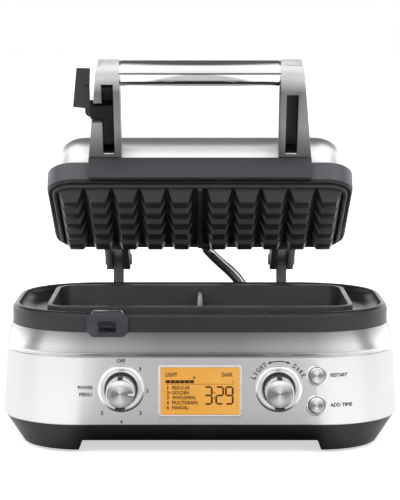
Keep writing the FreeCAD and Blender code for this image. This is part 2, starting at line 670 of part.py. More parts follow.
def hinge_post(x):
    """Base half of a hinge: a flange on the rear wall and one eye."""
    y = HALF_DEPTH
    near, far = HINGE_Y - KNUCKLE_R, HINGE_Y + KNUCKLE_R
    low, high = HINGE_FLANGE_LOW + 2, HINGE_FLANGE_HIGH
    web = prism_x([(y, low), (y + POST_BASE_THICK, low), (far, HINGE_Z - POST_HEAD), (far, HINGE_Z),
                   (near, HINGE_Z), (near, HINGE_Z - POST_NECK), (y + POST_BASE_THICK, high), (y, high)],
                  x - POST_HALF, x + POST_HALF)
    flange = block(x - HINGE_FLANGE_HALF, x + HINGE_FLANGE_HALF, y, y + HINGE_FLANGE_THICK,
                   HINGE_FLANGE_LOW, HINGE_FLANGE_HIGH)
    eye = rod_x(KNUCKLE_R, x - POST_HALF, x + POST_HALF, HINGE_Y, HINGE_Z)
    bore = rod_x(HINGE_PIN_R, x - HINGE_REACH, x + HINGE_REACH, HINGE_Y, HINGE_Z)
    return web.fuse([flange, eye]).cut(bore).removeSplitter()


def hinge_arms(x):
    """Lid half of a hinge: two ears on a common foot on the rear of the skirt."""
    ears = []
    for side in (-1, 1):
        a = x + side * (POST_HALF + KNUCKLE_GAP)
        b = a + side * KNUCKLE_WIDTH
        low, high = min(a, b), max(a, b)
        bar = prism_x([(SKIRT_HALF_Y, SKIRT_BOTTOM + 1), (HINGE_Y, HINGE_Z - KNUCKLE_R),
                       (HINGE_Y, HINGE_Z + KNUCKLE_R - 1), (SKIRT_HALF_Y, SKIRT_TOP - 1)], low, high)
        ears.append(bar)
        ears.append(rod_x(KNUCKLE_R, low, high, HINGE_Y, HINGE_Z))
    foot_plate = block(x - HINGE_REACH, x + HINGE_REACH, SKIRT_HALF_Y, SKIRT_HALF_Y + HINGE_FOOT_THICK,
                       SKIRT_BOTTOM + 1, SKIRT_TOP - 1)
    bore = rod_x(HINGE_PIN_R + RUNNING, x - HINGE_REACH - CUT, x + HINGE_REACH + CUT, HINGE_Y, HINGE_Z)
    return foot_plate.fuse(ears).cut(bore).removeSplitter()


def hinge_pin(x):
    """Headed pin through the eye and the ears."""
    reach = HINGE_REACH + PIN_HEAD_GAP
    shank = rod_x(HINGE_PIN_R, x - reach, x + reach, HINGE_Y, HINGE_Z)
    heads = [rod_x(PIN_HEAD_R, x - reach - PIN_HEAD_THICK, x - reach, HINGE_Y, HINGE_Z),
             rod_x(PIN_HEAD_R, x + reach, x + reach + PIN_HEAD_THICK, HINGE_Y, HINGE_Z)]
    return shank.fuse(heads).removeSplitter()


# ---- wiring between the housing and the lid ------------------------------------------

def gland(y, x, z, bore_r):
    """Collar round a hole in a wall that faces the back."""
    flange = rod_y(bore_r + GLAND_FLANGE, y, y + GLAND_FLANGE_THICK, x, z)
    neck = rod_y(bore_r + GLAND_NECK, y, y + GLAND_LENGTH, x, z)
    bore = rod_y(bore_r, y - CUT, y + GLAND_LENGTH + CUT, x, z)
    return flange.fuse(neck).cut(bore).removeSplitter()


def conduit():
    """Metal conduit from the housing to the opened lid, drawn at the rest angle."""
    lid_end = V(CONDUIT_LID_X, SKIRT_HALF_Y + CONDUIT_STUB, CONDUIT_LID_Z)
    lid_out = V(CONDUIT_LID_X, SKIRT_HALF_Y + CONDUIT_LID_RUN, CONDUIT_LID_Z)
    turn = FreeCAD.Rotation(X_AXIS, -OPEN_DEG)
    lid_end = HINGE + turn.multVec(lid_end - HINGE)
    lid_out = HINGE + turn.multVec(lid_out - HINGE)
    base_end = V(CONDUIT_BASE_X, HALF_DEPTH + CONDUIT_STUB, CONDUIT_BASE_Z)
    base_out = V(CONDUIT_BASE_X, HALF_DEPTH + CONDUIT_BASE_RUN, CONDUIT_BASE_Z)
    knee = V(CONDUIT_BASE_X, base_out.y, CONDUIT_KNEE_Z)
    path = rounded_path([base_end, base_out, knee, lid_out, lid_end], CONDUIT_BEND_R)
    start = Part.Wire([Part.makeCircle(CONDUIT_R, base_end, Y_AXIS)])
    return path.makePipeShell([start], True, False)


def rounded_path(points, radius):
    """A wire of straight runs with its corners rounded."""
    edges = []
    last = points[0]
    for before, corner, after in zip(points, points[1:], points[2:]):
        a = (before - corner).normalize()
        b = (after - corner).normalize()
        half_angle = a.getAngle(b) / 2
        trim = radius / math.tan(half_angle)
        start = corner + a * trim
        end = corner + b * trim
        middle = corner + (a + b).normalize() * (radius / math.sin(half_angle) - radius)
        edges.append(Part.makeLine(last, start))
        edges.append(Part.Arc(start, middle, end).toShape())
        last = end
    edges.append(Part.makeLine(last, points[-1]))
    return Part.Wire(edges)


# ---- control panel -------------------------------------------------------------------

def display_bezel():
    """Bevelled frame round the display window."""
    outer_x, outer_z = DISPLAY_HALF_X + BEZEL_LIP, DISPLAY_HALF_Z + BEZEL_LIP
    frame = block(-outer_x, outer_x, PANEL_Y - BEZEL_THICK, PANEL_Y,
                  DISPLAY_Z - outer_z, DISPLAY_Z + outer_z)
    edges = [e for e in frame.Edges if e.BoundBox.YLength > BEZEL_THICK / 2]
    frame = frame.makeFillet(BEZEL_R, edges)
    hole = block(-DISPLAY_HALF_X, DISPLAY_HALF_X, PANEL_Y - 2 * BEZEL_THICK, PANEL_Y + CUT,
                 DISPLAY_Z - DISPLAY_HALF_Z, DISPLAY_Z + DISPLAY_HALF_Z)
    return frame.cut(hole)


def display_lens():
    """Clear window."""
    half_x, half_z = DISPLAY_HALF_X - LENS_GAP, DISPLAY_HALF_Z - LENS_GAP
    return block(-half_x, half_x, PANEL_Y - LENS_PROUD, PANEL_Y + LENS_BEHIND,
                 DISPLAY_Z - half_z, DISPLAY_Z + half_z)


def display_module():
    """Backlit display behind the window."""
    half_x, half_z = DISPLAY_HALF_X + MODULE_BORDER_X, DISPLAY_HALF_Z + MODULE_BORDER_Z
    return block(-half_x, half_x, PANEL_Y + MODULE_BEHIND, BOARD_FRONT_Y,
                 DISPLAY_Z - half_z, DISPLAY_Z + half_z)


def control_board():
    """Circuit board behind the panel."""
    return block(BOARD_LEFT_X, BOARD_RIGHT_X, BOARD_FRONT_Y, BOARD_FRONT_Y + BOARD_THICK,
                 BOARD_LOW_Z, BOARD_HIGH_Z)


def dial_ring(x):
    """Raised ring round a dial, bevelled to the panel."""
    ring = Part.makeCone(DIAL_RING_R, DIAL_RING_R - DIAL_RING_BEVEL, DIAL_RING_THICK,
                         V(x, PANEL_Y, DIAL_Z), -Y_AXIS)
    floor_y = PANEL_Y - DIAL_RING_THICK + DISH_DEPTH
    dish = Part.makeCone(KNOB_R + DISH_FLOOR_GAP, KNOB_R + DISH_TOP_GAP, DISH_DEPTH + OVERRUN,
                         V(x, floor_y, DIAL_Z), -Y_AXIS)
    hole = rod_y(SHAFT_R + DIAL_SHAFT_GAP, PANEL_Y - 2 * DIAL_RING_THICK, PANEL_Y + CUT, x, DIAL_Z)
    return ring.cut([dish, hole])


def dial_encoder(x):
    """Encoder that carries the dial shaft."""
    body = rod_y(ENCODER_R, PANEL_Y + WALL + ENCODER_GAP, BOARD_FRONT_Y, x, DIAL_Z)
    return body.cut(rod_y(SHAFT_R + RUNNING, PANEL_Y, BOARD_FRONT_Y + CUT, x, DIAL_Z))


def dial_knob(x):
    """Round knob with a broad foot and a tapered grip."""
    grip_y = KNOB_BACK_Y - KNOB_FOOT_THICK
    foot_ring = rod_y(KNOB_R, grip_y, KNOB_BACK_Y, x, DIAL_Z)
    grip = Part.makeCone(KNOB_R - KNOB_STEP, KNOB_FRONT_R, grip_y - KNOB_FRONT_Y - CAP_PROUD,
                         V(x, grip_y, DIAL_Z), -Y_AXIS)
    seat = dial_cap(x)
    socket = rod_y(SHAFT_R, KNOB_BACK_Y - SHAFT_IN_KNOB, KNOB_BACK_Y + CUT, x, DIAL_Z)
    return foot_ring.fuse(grip).cut([seat, socket]).removeSplitter()


def dial_cap(x):
    """Brushed disc on the front of a knob."""
    return rod_y(CAP_R, KNOB_FRONT_Y, KNOB_FRONT_Y + CAP_THICK, x, DIAL_Z)


def dial_shaft(x):
    """Shaft from the knob into the encoder."""
    return rod_y(SHAFT_R, KNOB_BACK_Y - SHAFT_IN_KNOB, BOARD_FRONT_Y - SHAFT_TO_BOARD, x, DIAL_Z)


def button_ring(z):
    """Bevelled ring round a push button."""
    ring = Part.makeCone(BUTTON_RING_R, BUTTON_RING_R - BUTTON_RING_BEVEL, BUTTON_RING_THICK,
                         V(BUTTON_X, PANEL_Y, z), -Y_AXIS)
    hole = rod_y(BUTTON_R + BUTTON_RING_GAP, PANEL_Y - 2 * BUTTON_RING_THICK, PANEL_Y + CUT, BUTTON_X, z)
    return ring.cut(hole)


def push_button(z):
    """Button cap with its stem."""
    cap = rod_y(BUTTON_R, PANEL_Y - BUTTON_PROUD, PANEL_Y + BUTTON_BEHIND, BUTTON_X, z)
    stem = rod_y(STEM_R, PANEL_Y + BUTTON_BEHIND, BOARD_FRONT_Y - STEM_TO_BOARD, BUTTON_X, z)
    return cap.fuse(stem).removeSplitter()


def button_switch(z):
    """Tact switch on the board behind a button."""
    return block(BUTTON_X - SWITCH_HALF, BUTTON_X + SWITCH_HALF, BOARD_FRONT_Y - SWITCH_HIGH, BOARD_FRONT_Y,
                 z - SWITCH_HALF, z + SWITCH_HALF)


# ---- write every part ----------------------------------------------------------------

def write_housing():
    finish_base(base_pan(), "base_pan")
    for name_y, y in (("front", -FOOT_Y), ("rear", FOOT_Y)):
        for name_x, x in (("left", -FOOT_X), ("right", FOOT_X)):
            finish_base(foot_pad(x, y), "foot_pad_" + name_y + "_" + name_x)
    finish_base(housing_shell(), "housing_shell")
    finish_base(trim_band(), "trim_band")
    finish_base(rim_deck(), "rim_deck")
    finish_base(latch_socket(), "latch_socket")
    finish_base(lower_plate(), "lower_plate")
    finish_base(heating_element(LOWER_ELEMENT_Z), "lower_heating_element")
    finish_base(heat_shield(LOWER_SHIELD_PLAN, *LOWER_SHIELD_ZS), "lower_heat_shield")
    finish_base(gland(HALF_DEPTH, CORD_X, CORD_Z, CORD_BORE_R), "cord_gland")
    finish_base(gland(HALF_DEPTH, CONDUIT_BASE_X, CONDUIT_BASE_Z, CONDUIT_R + CONDUIT_CLEAR),
                "conduit_gland_base")
    finish_base(conduit(), "conduit")


def write_controls():
    finish_base(display_bezel(), "display_bezel")
    finish_base(display_lens(), "display_lens")
    finish_base(display_module(), "display_module")
    finish_base(control_board(), "control_board")
    for name, x in (("menu", -DIAL_X), ("browning", DIAL_X)):
        finish_base(dial_ring(x), name + "_dial_ring")
        finish_base(dial_encoder(x), name + "_encoder")
        finish_base(dial_knob(x), name + "_knob")
        finish_base(dial_cap(x), name + "_knob_cap")
        finish_base(dial_shaft(x), name + "_shaft")
    for name, z in BUTTON_ZS.items():
        finish_base(button_ring(z), name + "_button_ring")
        finish_base(push_button(z), name + "_button")
        finish_base(button_switch(z), name + "_switch")


def write_lid():
    finish_lid(lid_skirt(), "lid_skirt")
    finish_lid(lid_ledge(), "lid_ledge")
    finish_lid(lid_cover(), "lid_cover")
    finish_lid(upper_plate(), "upper_plate")
    finish_lid(heating_element(UPPER_ELEMENT_Z), "upper_heating_element")
    finish_lid(heat_shield(UPPER_SHIELD_PLAN, *UPPER_SHIELD_ZS), "upper_heat_shield")
    finish_lid(handle_bracket(), "handle_bracket")
    finish_lid(latch_arm(), "handle_arm_left")
    finish_lid(handle_arm(1, SLOT_TOP_RIGHT), "handle_arm_right")
    finish_lid(handle_tube(), "handle_tube")
    finish_lid(latch_pin(), "latch_pin")
    finish_lid(latch_lever(), "latch_lever")
    finish_lid(gland(SKIRT_HALF_Y, CONDUIT_LID_X, CONDUIT_LID_Z, CONDUIT_R + CONDUIT_CLEAR),
               "conduit_gland_lid")


def write_hinges():
    for name, x in (("left", -HINGE_X), ("right", HINGE_X)):
        finish_base(hinge_post(x), "hinge_post_" + name)
        finish_base(hinge_pin(x), "hinge_pin_" + name)
        finish_lid(hinge_arms(x), "hinge_arms_" + name)


os.makedirs("parts", exist_ok=True)
write_housing()
write_controls()
write_lid()
write_hinges()
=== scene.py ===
"""Looks of the waffle maker. Metres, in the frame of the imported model."""
import json
import math

import bmesh
import bpy
from mathutils import Matrix, Vector

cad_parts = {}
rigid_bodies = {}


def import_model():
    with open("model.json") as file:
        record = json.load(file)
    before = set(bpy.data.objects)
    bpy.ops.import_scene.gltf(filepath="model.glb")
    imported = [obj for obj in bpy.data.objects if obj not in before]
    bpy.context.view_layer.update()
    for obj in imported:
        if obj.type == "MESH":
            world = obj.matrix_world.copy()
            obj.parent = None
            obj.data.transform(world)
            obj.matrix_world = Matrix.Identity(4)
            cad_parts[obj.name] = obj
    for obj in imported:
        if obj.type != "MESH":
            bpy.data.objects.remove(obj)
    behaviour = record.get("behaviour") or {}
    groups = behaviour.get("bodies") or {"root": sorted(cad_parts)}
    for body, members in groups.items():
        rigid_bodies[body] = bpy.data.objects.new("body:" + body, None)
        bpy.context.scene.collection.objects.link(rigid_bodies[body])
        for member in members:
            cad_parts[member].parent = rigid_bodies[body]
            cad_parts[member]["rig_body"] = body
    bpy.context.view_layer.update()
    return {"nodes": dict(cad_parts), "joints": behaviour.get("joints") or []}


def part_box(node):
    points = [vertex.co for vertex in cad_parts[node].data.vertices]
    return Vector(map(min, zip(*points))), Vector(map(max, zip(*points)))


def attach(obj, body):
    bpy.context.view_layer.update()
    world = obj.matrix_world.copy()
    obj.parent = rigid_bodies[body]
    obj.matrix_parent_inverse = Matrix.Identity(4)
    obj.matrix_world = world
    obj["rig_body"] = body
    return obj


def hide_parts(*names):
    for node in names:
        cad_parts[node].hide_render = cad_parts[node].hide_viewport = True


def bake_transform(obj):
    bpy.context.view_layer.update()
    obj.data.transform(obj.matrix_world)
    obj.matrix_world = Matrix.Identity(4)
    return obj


MM = 0.001
CORNER_STEPS = 12
SIDE_STEPS = 10

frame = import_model()
JOINTS = {j["name"]: j for j in frame["joints"]}
HINGE = Vector(JOINTS["lid_hinge"]["pos_m"])
OPEN_ANGLE = math.radians(-JOINTS["lid_hinge"]["range_deg"][0])
TO_REST = Matrix.Translation(HINGE) @ Matrix.Rotation(-OPEN_ANGLE, 4, "X") @ Matrix.Translation(-HINGE)
TO_CLOSED = TO_REST.inverted()
HOUSING_LOW, HOUSING_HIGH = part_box("housing_shell")
MIDDLE_Y = (HOUSING_LOW.y + HOUSING_HIGH.y) / 2


# ---- materials -----------------------------------------------------------------------

def socket_values(shader, values):
    for key, value in values.items():
        shader.inputs[key].default_value = value


def material(name, colour, roughness, metallic=0.0, **extra):
    """A Principled material, returned with its node tree and shader."""
    mat = bpy.data.materials.new(name)
    mat.use_nodes = True
    shader = mat.node_tree.nodes["Principled BSDF"]
    socket_values(shader, {"Base Color": (*colour, 1.0), "Roughness": roughness, "Metallic": metallic})
    socket_values(shader, {key.replace("_", " "): value for key, value in extra.items()})
    return mat, mat.node_tree, shader


def add(tree, kind, **settings):
    """A shader node of one kind, with its settings."""
    node = tree.nodes.new("ShaderNode" + kind)
    for key, value in settings.items():
        setattr(node, key, value)
    return node


def noise(tree, scale, stretch=(1, 1, 1), detail=3.0, rough=0.6):
    """Noise in object coordinates, in features per metre, stretched along the axes."""
    coords = add(tree, "TexCoord")
    mapping = add(tree, "Mapping")
    mapping.inputs["Scale"].default_value = stretch
    texture = add(tree, "TexNoise")
    socket_values(texture, {"Scale": scale, "Detail": detail, "Roughness": rough})
    tree.links.new(coords.outputs["Object"], mapping.inputs["Vector"])
    tree.links.new(mapping.outputs["Vector"], texture.inputs["Vector"])
    return texture.outputs["Fac"]


def spread(tree, value, low, high):
    """Map a noise value round its middle to a range."""
    return map_range(tree, value, 0.3, 0.7, low, high)


def vary_roughness(tree, shader, value, low, high):
    tree.links.new(spread(tree, value, low, high), shader.inputs["Roughness"])


def mix_colour(tree, shader, value, low, high):
    """Drive the base colour between two colours."""
    ramp = add(tree, "ValToRGB")
    ramp.color_ramp.elements[0].position = 0.3
    ramp.color_ramp.elements[1].position = 0.7
    ramp.color_ramp.elements[0].color = (*low, 1)
    ramp.color_ramp.elements[1].color = (*high, 1)
    tree.links.new(value, ramp.inputs["Fac"])
    tree.links.new(ramp.outputs["Color"], shader.inputs["Base Color"])
    return ramp.outputs["Color"]


def bump(tree, shader, value, distance, strength=1.0, below=None):
    """Add a bump of a real height, on top of an earlier one if given."""
    node = add(tree, "Bump")
    socket_values(node, {"Distance": distance, "Strength": strength})
    tree.links.new(value, node.inputs["Height"])
    if below is not None:
        tree.links.new(below, node.inputs["Normal"])
    tree.links.new(node.outputs["Normal"], shader.inputs["Normal"])
    return node.outputs["Normal"]


def brushed_steel(name, along, colour, roughness, anisotropic=0.0, shading=()):
    """Steel brushed along one or two axes: fine grooves, with broader streaks in the roughness.

    shading lists painted light and shade: fades that make the colour lighter or darker by place, as the fade
    function takes them.
    """
    mat, tree, shader = material(name, colour, roughness, 1.0, Anisotropic=anisotropic,
                                 Anisotropic_Rotation=0.25)
    if anisotropic:
        tangent = add(tree, "Tangent", direction_type="RADIAL", axis="Z")
        tree.links.new(tangent.outputs["Tangent"], shader.inputs["Tangent"])
    fine = [1.0 if axis in along else 90.0 for axis in "XYZ"]
    broad = [1.0 if axis in along else 22.0 for axis in "XYZ"]
    grooves = noise(tree, 35.0, fine, 2.0)
    streaks = noise(tree, 9.0, broad, 3.0)
    vary_roughness(tree, shader, streaks, roughness * 0.93, roughness * 1.07)
    dark = [c * 0.985 for c in colour]
    tint = mix_colour(tree, shader, streaks, dark, colour)
    # Painted reflection and shade: each fade makes the colour lighter or darker by place.
    for one in shading:
        tint = fade(tree, shader, tint, *one)
    bump(tree, shader, grooves, 0.000004, 0.3)
    return mat


def fade(tree, shader, tint, axis, near, far, stops):
    """Paint light and shade into a colour: scale it by levels at shares of the way from near to far along an
    axis, either side of 0.
    """
    share = map_range(tree, absolute(tree, axes(tree, "Object")[axis]), near, far)
    product = multiply(tree, tint, ramp_node(tree, share, stops))
    tree.links.new(product, shader.inputs["Base Color"])
    return product


def axes(tree, kind):
    """X, Y and Z of one kind of texture coordinate."""
    coords = add(tree, "TexCoord")
    split = add(tree, "SeparateXYZ")
    tree.links.new(coords.outputs[kind], split.inputs["Vector"])
    return split.outputs


def absolute(tree, value):
    node = add(tree, "Math", operation="ABSOLUTE")
    tree.links.new(value, node.inputs[0])
    return node.outputs["Value"]


def map_range(tree, value, low, high, start=0.0, end=1.0):
    """Map the range from low to high to the one from start to end."""
    node = add(tree, "MapRange")
    socket_values(node, {"From Min": low, "From Max": high, "To Min": start, "To Max": end})
    tree.links.new(value, node.inputs["Value"])
    return node.outputs["Result"]


def blend_colours(tree, a, b, kind="MIX", share=None):
    node = add(tree, "Mix", data_type="RGBA")
    node.blend_type = kind
    node.inputs["Factor"].default_value = 1.0
    if share is not None:
        tree.links.new(share, node.inputs["Factor"])
    tree.links.new(a, node.inputs["A"])
    tree.links.new(b, node.inputs["B"])
    return node.outputs["Result"]


def multiply(tree, a, b):
    return blend_colours(tree, a, b, "MULTIPLY")


def ramp_node(tree, value, stops):
    """Grey levels at places from 0 to 1."""
    ramp = add(tree, "ValToRGB")
    elements = ramp.color_ramp.elements
    for element, (place, level) in ((elements[0], stops[0]), (elements[-1], stops[-1])):
        element.position = place
        element.color = (level, level, level, 1)
    for place, level in stops[1:-1]:
        elements.new(place).color = (level, level, level, 1)
    tree.links.new(value, ramp.inputs["Fac"])
    return ramp.outputs["Color"]


def cast_finish(name, colour, roughness, grain=0.00003, metallic=0.0, shading=()):
    """Fine-grained satin coat on a casting."""
    mat, tree, shader = material(name, colour, roughness, metallic)
    cloud = noise(tree, 40.0, detail=4.0)
    speck = noise(tree, 1500.0, detail=2.0)
    light = [min(1.0, c * 1.25 + 0.004) for c in colour]
    tint = mix_colour(tree, shader, speck, colour, light)
    # Painted reflection and shade: each fade makes the colour lighter or darker by place.
    for one in shading:
        tint = fade(tree, shader, tint, *one)
    vary_roughness(tree, shader, cloud, roughness * 0.85, roughness * 1.18)
    first = bump(tree, shader, speck, grain, 0.5)
    bump(tree, shader, cloud, 0.00002, 0.1, first)
    return mat


def moulded_plastic(name, colour, roughness, grain=0.00002, gloss=0.5):
    """Moulded plastic with a fine spark-eroded grain."""
    mat, tree, shader = material(name, colour, roughness, Specular_IOR_Level=gloss)
    grainy = noise(tree, 2600.0, detail=1.0)
    cloud = noise(tree, 30.0)
    vary_roughness(tree, shader, cloud, roughness * 0.85, roughness * 1.2)
    mix_colour(tree, shader, cloud, [c * 0.85 for c in colour], [c * 1.15 for c in colour])
    bump(tree, shader, grainy, grain, 0.5)
    return mat


def polished(name, colour, roughness):
    """Polished metal with faint handling marks."""
    mat, tree, shader = material(name, colour, roughness, 1.0)
    marks = noise(tree, 60.0, (1, 6, 6), 4.0)
    vary_roughness(tree, shader, marks, roughness * 0.7, roughness * 1.7)
    mix_colour(tree, shader, marks, [c * 0.97 for c in colour], colour)
    bump(tree, shader, marks, 0.000006, 0.3)
    return mat


def spun_metal(name, centre, painted_sheen):
    """Metal turned on a lathe round a centre: fine rings, with a painted sheen of light and dark fanning out
    from the centre.

    The third argument gives grey levels at shares of a turn, anticlockwise from nine o'clock, painted into
    the colour as the bow-tie reflection of spun metal.
    """
    colour, roughness = (0.98, 0.98, 0.99), 0.22
    mat, tree, shader = material(name, colour, roughness, 1.0, Anisotropic=0.6)
    coords = add(tree, "TexCoord")
    mapping = add(tree, "Mapping")
    mapping.inputs["Location"].default_value = -centre
    split = add(tree, "SeparateXYZ")
    disc = add(tree, "CombineXYZ")
    turn = add(tree, "TexGradient", gradient_type="RADIAL")
    tangent = add(tree, "Tangent", direction_type="RADIAL", axis="Y")
    wave = add(tree, "TexWave", wave_type="RINGS", rings_direction="Z")
    socket_values(wave, {"Scale": 500.0, "Distortion": 0.4, "Detail": 1.0})
    base = add(tree, "RGB")
    base.outputs["Color"].default_value = (*colour, 1)
    tree.links.new(coords.outputs["Object"], mapping.inputs["Vector"])
    tree.links.new(mapping.outputs["Vector"], split.inputs["Vector"])
    for source, target in (("X", "X"), ("Z", "Y")):
        tree.links.new(split.outputs[source], disc.inputs[target])
    for node in (turn, wave):
        tree.links.new(disc.outputs["Vector"], node.inputs["Vector"])
    # The grey levels round the turn are a painted reflection in the colour.
    shade_of = multiply(tree, base.outputs["Color"], ramp_node(tree, turn.outputs["Fac"], painted_sheen))
    tree.links.new(shade_of, shader.inputs["Base Color"])
    tree.links.new(tangent.outputs["Tangent"], shader.inputs["Tangent"])
    vary_roughness(tree, shader, wave.outputs["Fac"], roughness * 0.9, roughness * 1.1)
    bump(tree, shader, wave.outputs["Fac"], 0.000003, 0.2)
    return mat


def rubber(name):
    mat, tree, shader = material(name, (0.012, 0.012, 0.013), 0.75)
    dust = noise(tree, 300.0, detail=4.0)
    mix_colour(tree, shader, dust, (0.010, 0.010, 0.011), (0.022, 0.022, 0.022))
    bump(tree, shader, noise(tree, 1800.0), 0.00004, 0.6)
    return mat


def ink(name, colour):
    """Screen-printed ink, slightly uneven."""
    mat, tree, shader = material(name, colour, 0.5)
    patch = noise(tree, 700.0)
    mix_colour(tree, shader, patch, colour, [c * 1.5 for c in colour])
    vary_roughness(tree, shader, patch, 0.45, 0.6)
    return mat


def display_glow(name):
    """Amber backlight, slightly uneven."""
    mat, tree, shader = material(name, (0.9, 0.42, 0.05), 0.6)
    haze = noise(tree, 14.0, detail=2.0)
    ramp = add(tree, "ValToRGB")
    ramp.color_ramp.elements[0].color = (0.80, 0.37, 0.045, 1)
    ramp.color_ramp.elements[1].color = (0.87, 0.45, 0.09, 1)
    tree.links.new(spread(tree, haze, 0.0, 1.0), ramp.inputs["Fac"])
    tree.links.new(ramp.outputs["Color"], shader.inputs["Emission Color"])
    shader.inputs["Emission Strength"].default_value = 0.95
    mix_colour(tree, shader, haze, (0.06, 0.02, 0.002), (0.08, 0.03, 0.003))
    return mat


def clear_window(name):
    mat, tree, shader = material(name, (0.3, 0.12, 0.02), 0.04)
    shader.inputs["Alpha"].default_value = 0.05
    vary_roughness(tree, shader, noise(tree, 120.0), 0.03, 0.07)
    return mat


# Painted reflection: the panel's colour is darker in the middle, lighter towards the sides and a little
# darker again at the ends.
STEEL_PANEL = brushed_steel("steel_panel", "XY", (0.92, 0.92, 0.93), 0.24, 0.6,
                            [("X", 0.02, 0.165, ((0, 0.8), (0.6, 0.9), (0.8, 0.88), (1, 0.8)))])
# Painted shadow and reflection on the trim band: it darkens towards its top, under the rim, and is darker in
# the middle than at its ends.
BAND_PAINTED_SHADOW = ("Z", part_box("trim_band")[0].z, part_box("trim_band")[1].z, ((0, 1.1), (0.45, 1.05), (1, 0.5)))
STEEL_BAND = brushed_steel("steel_band", "XY", (0.86, 0.87, 0.89), 0.22, 0.3,
                           [("X", 0.03, 0.155, ((0, 0.29), (0.5, 0.44), (1, 1))), BAND_PAINTED_SHADOW])
STEEL_COVER = brushed_steel("steel_cover", "X", (1.0, 1.0, 1.0), 0.36)
STEEL_PLAIN = brushed_steel("steel_plain", "Z", (0.5, 0.5, 0.5), 0.35)
FRAME_DARK = cast_finish("frame_dark", (0.024, 0.027, 0.031), 0.34)
FRAME_EDGE = cast_finish("frame_dark_gloss", (0.028, 0.031, 0.036), 0.26)
PLATE_DARK = cast_finish("plate_nonstick", (0.025, 0.027, 0.030), 0.32, 0.00004)
SKIRT_GREY = cast_finish("skirt_grey", (0.06, 0.064, 0.071), 0.34)
RIM_DARK = cast_finish("rim_dark", (0.010, 0.012, 0.014), 0.3)
POST_GREY = cast_finish("hinge_grey", (0.085, 0.088, 0.094), 0.4)
# Painted shade: the underside of the grey lid skirt is coloured near-black.
UNDERSIDE_PAINTED_SHADE = cast_finish("underside_painted_shade", (0.004, 0.004, 0.005), 0.4)
HINGE_BLACK = cast_finish("hinge_black", (0.02, 0.021, 0.024), 0.36)
# Painted reflection and shade on the arms: darker towards their roots, lighter near their heads.
ARM_PAINTED_LIGHT = ((0, 0.14), (0.08, 0.18), (0.3, 0.36), (0.66, 0.25), (0.8, 0.76), (1, 0.86))
ARM_METAL = cast_finish("arm_metal", (0.8, 0.81, 0.83), 0.42, 0.000004, 0.55,
                        [("Z", 0.24, 0.32, ARM_PAINTED_LIGHT)])
TRAY_BLACK = moulded_plastic("tray_black", (0.003, 0.0032, 0.0038), 0.25)
LATCH_BLACK = moulded_plastic("latch_black", (0.005, 0.006, 0.007), 0.45, gloss=0.25)
TAB_GREY = moulded_plastic("thumb_tab_grey", (0.022, 0.023, 0.026), 0.45)
CHANNEL_BLACK = cast_finish("channel_black", (0.008, 0.008, 0.009), 0.4)
PART_BLACK = moulded_plastic("part_black", (0.012, 0.012, 0.013), 0.5)
BOARD_GREEN = moulded_plastic("board_green", (0.015, 0.12, 0.05), 0.4)
TUBE_METAL = polished("tube_polished", (0.9, 0.9, 0.91), 0.08)
CONDUIT_METAL = polished("conduit_polished", (0.75, 0.75, 0.77), 0.12)
BEZEL_METAL = polished("bezel_bright", (0.95, 0.95, 0.95), 0.25)
KNOB_METAL = polished("knob_satin", (0.85, 0.85, 0.86), 0.2)
# Painted sheen: grey levels round a turn that paint the bow-tie reflections of spun metal on the caps and
# rings.
CAP_PAINTED_SHEEN = ((0.0, 0.32), (0.05, 0.3), (0.16, 0.75), (0.26, 1.0), (0.34, 0.7), (0.44, 0.45), (0.53, 0.25),
           (0.58, 0.5), (0.73, 1.0), (0.82, 0.95), (0.91, 0.5), (0.96, 0.3), (1.0, 0.32))
RING_PAINTED_SHEEN = ((0.0, 1.0), (0.17, 1.0), (0.25, 0.6), (0.33, 1.0), (0.67, 1.0), (0.75, 0.9), (0.83, 1.0),
            (1.0, 1.0))
RUBBER = rubber("foot_rubber")
INK = ink("legend_ink", (0.004, 0.004, 0.005))
POINTER = moulded_plastic("pointer_white", (0.75, 0.75, 0.74), 0.35)
LCD_INK = ink("display_segments", (0.035, 0.006, 0.001))
GLOW = display_glow("display_backlight")
WINDOW = clear_window("display_window")


# ---- mesh helpers --------------------------------------------------------------------

def closed_box(node):
    """Lowest and highest corners of a lid node with the lid closed."""
    corners = [TO_CLOSED @ v.co for v in frame["nodes"][node].data.vertices]
    low = Vector([min(c[i] for c in corners) for i in range(3)])
    high = Vector([max(c[i] for c in corners) for i in range(3)])
    return low, high


def placed(name, data):
    """A new object in the scene."""
    obj = bpy.data.objects.new(name, data)
    bpy.context.scene.collection.objects.link(obj)
    return obj


def mesh_of(name, verts, faces):
    mesh = bpy.data.meshes.new(name)
    mesh.from_pydata(verts, [], faces)
    return mesh


def baked(obj):
    """The mesh of an object with its modifiers applied, or of a curve."""
    bpy.context.view_layer.update()
    return bpy.data.meshes.new_from_object(obj.evaluated_get(bpy.context.evaluated_depsgraph_get()))


def bands(count, rings, first=0):
    """Faces between one ring of corners and the next, with count corners in each ring."""
    faces = []
    for ring in range(rings - 1):
        for i in range(count):
            a, b = first + ring * count + i, first + ring * count + (i + 1) % count
            faces.append((a, b, b + count, a + count))
    return faces


def piece(name, verts, faces, mat, body, slot, nodes=(), lid=False, smooth=40):
    """Make a mesh object that rides on a body and stands for some nodes."""
    mesh = mesh_of(name, verts, faces)
    obj = placed(name, mesh)
    if lid:
        mesh.transform(TO_REST)
    return settle(obj, mat, body, nodes, smooth)


def settle(obj, mat, body, nodes=(), smooth=40):
    """Give a new object its material, shading, body and the nodes it stands for."""
    work = bmesh.new()
    work.from_mesh(obj.data)
    bmesh.ops.remove_doubles(work, verts=work.verts, dist=1e-6)
    bmesh.ops.recalc_face_normals(work, faces=work.faces)
    work.to_mesh(obj.data)
    work.free()
    obj.data.materials.clear()
    obj.data.materials.append(mat)
    shade(obj, smooth)
    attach(obj, body)
    if nodes:
        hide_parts(*nodes)
    return obj


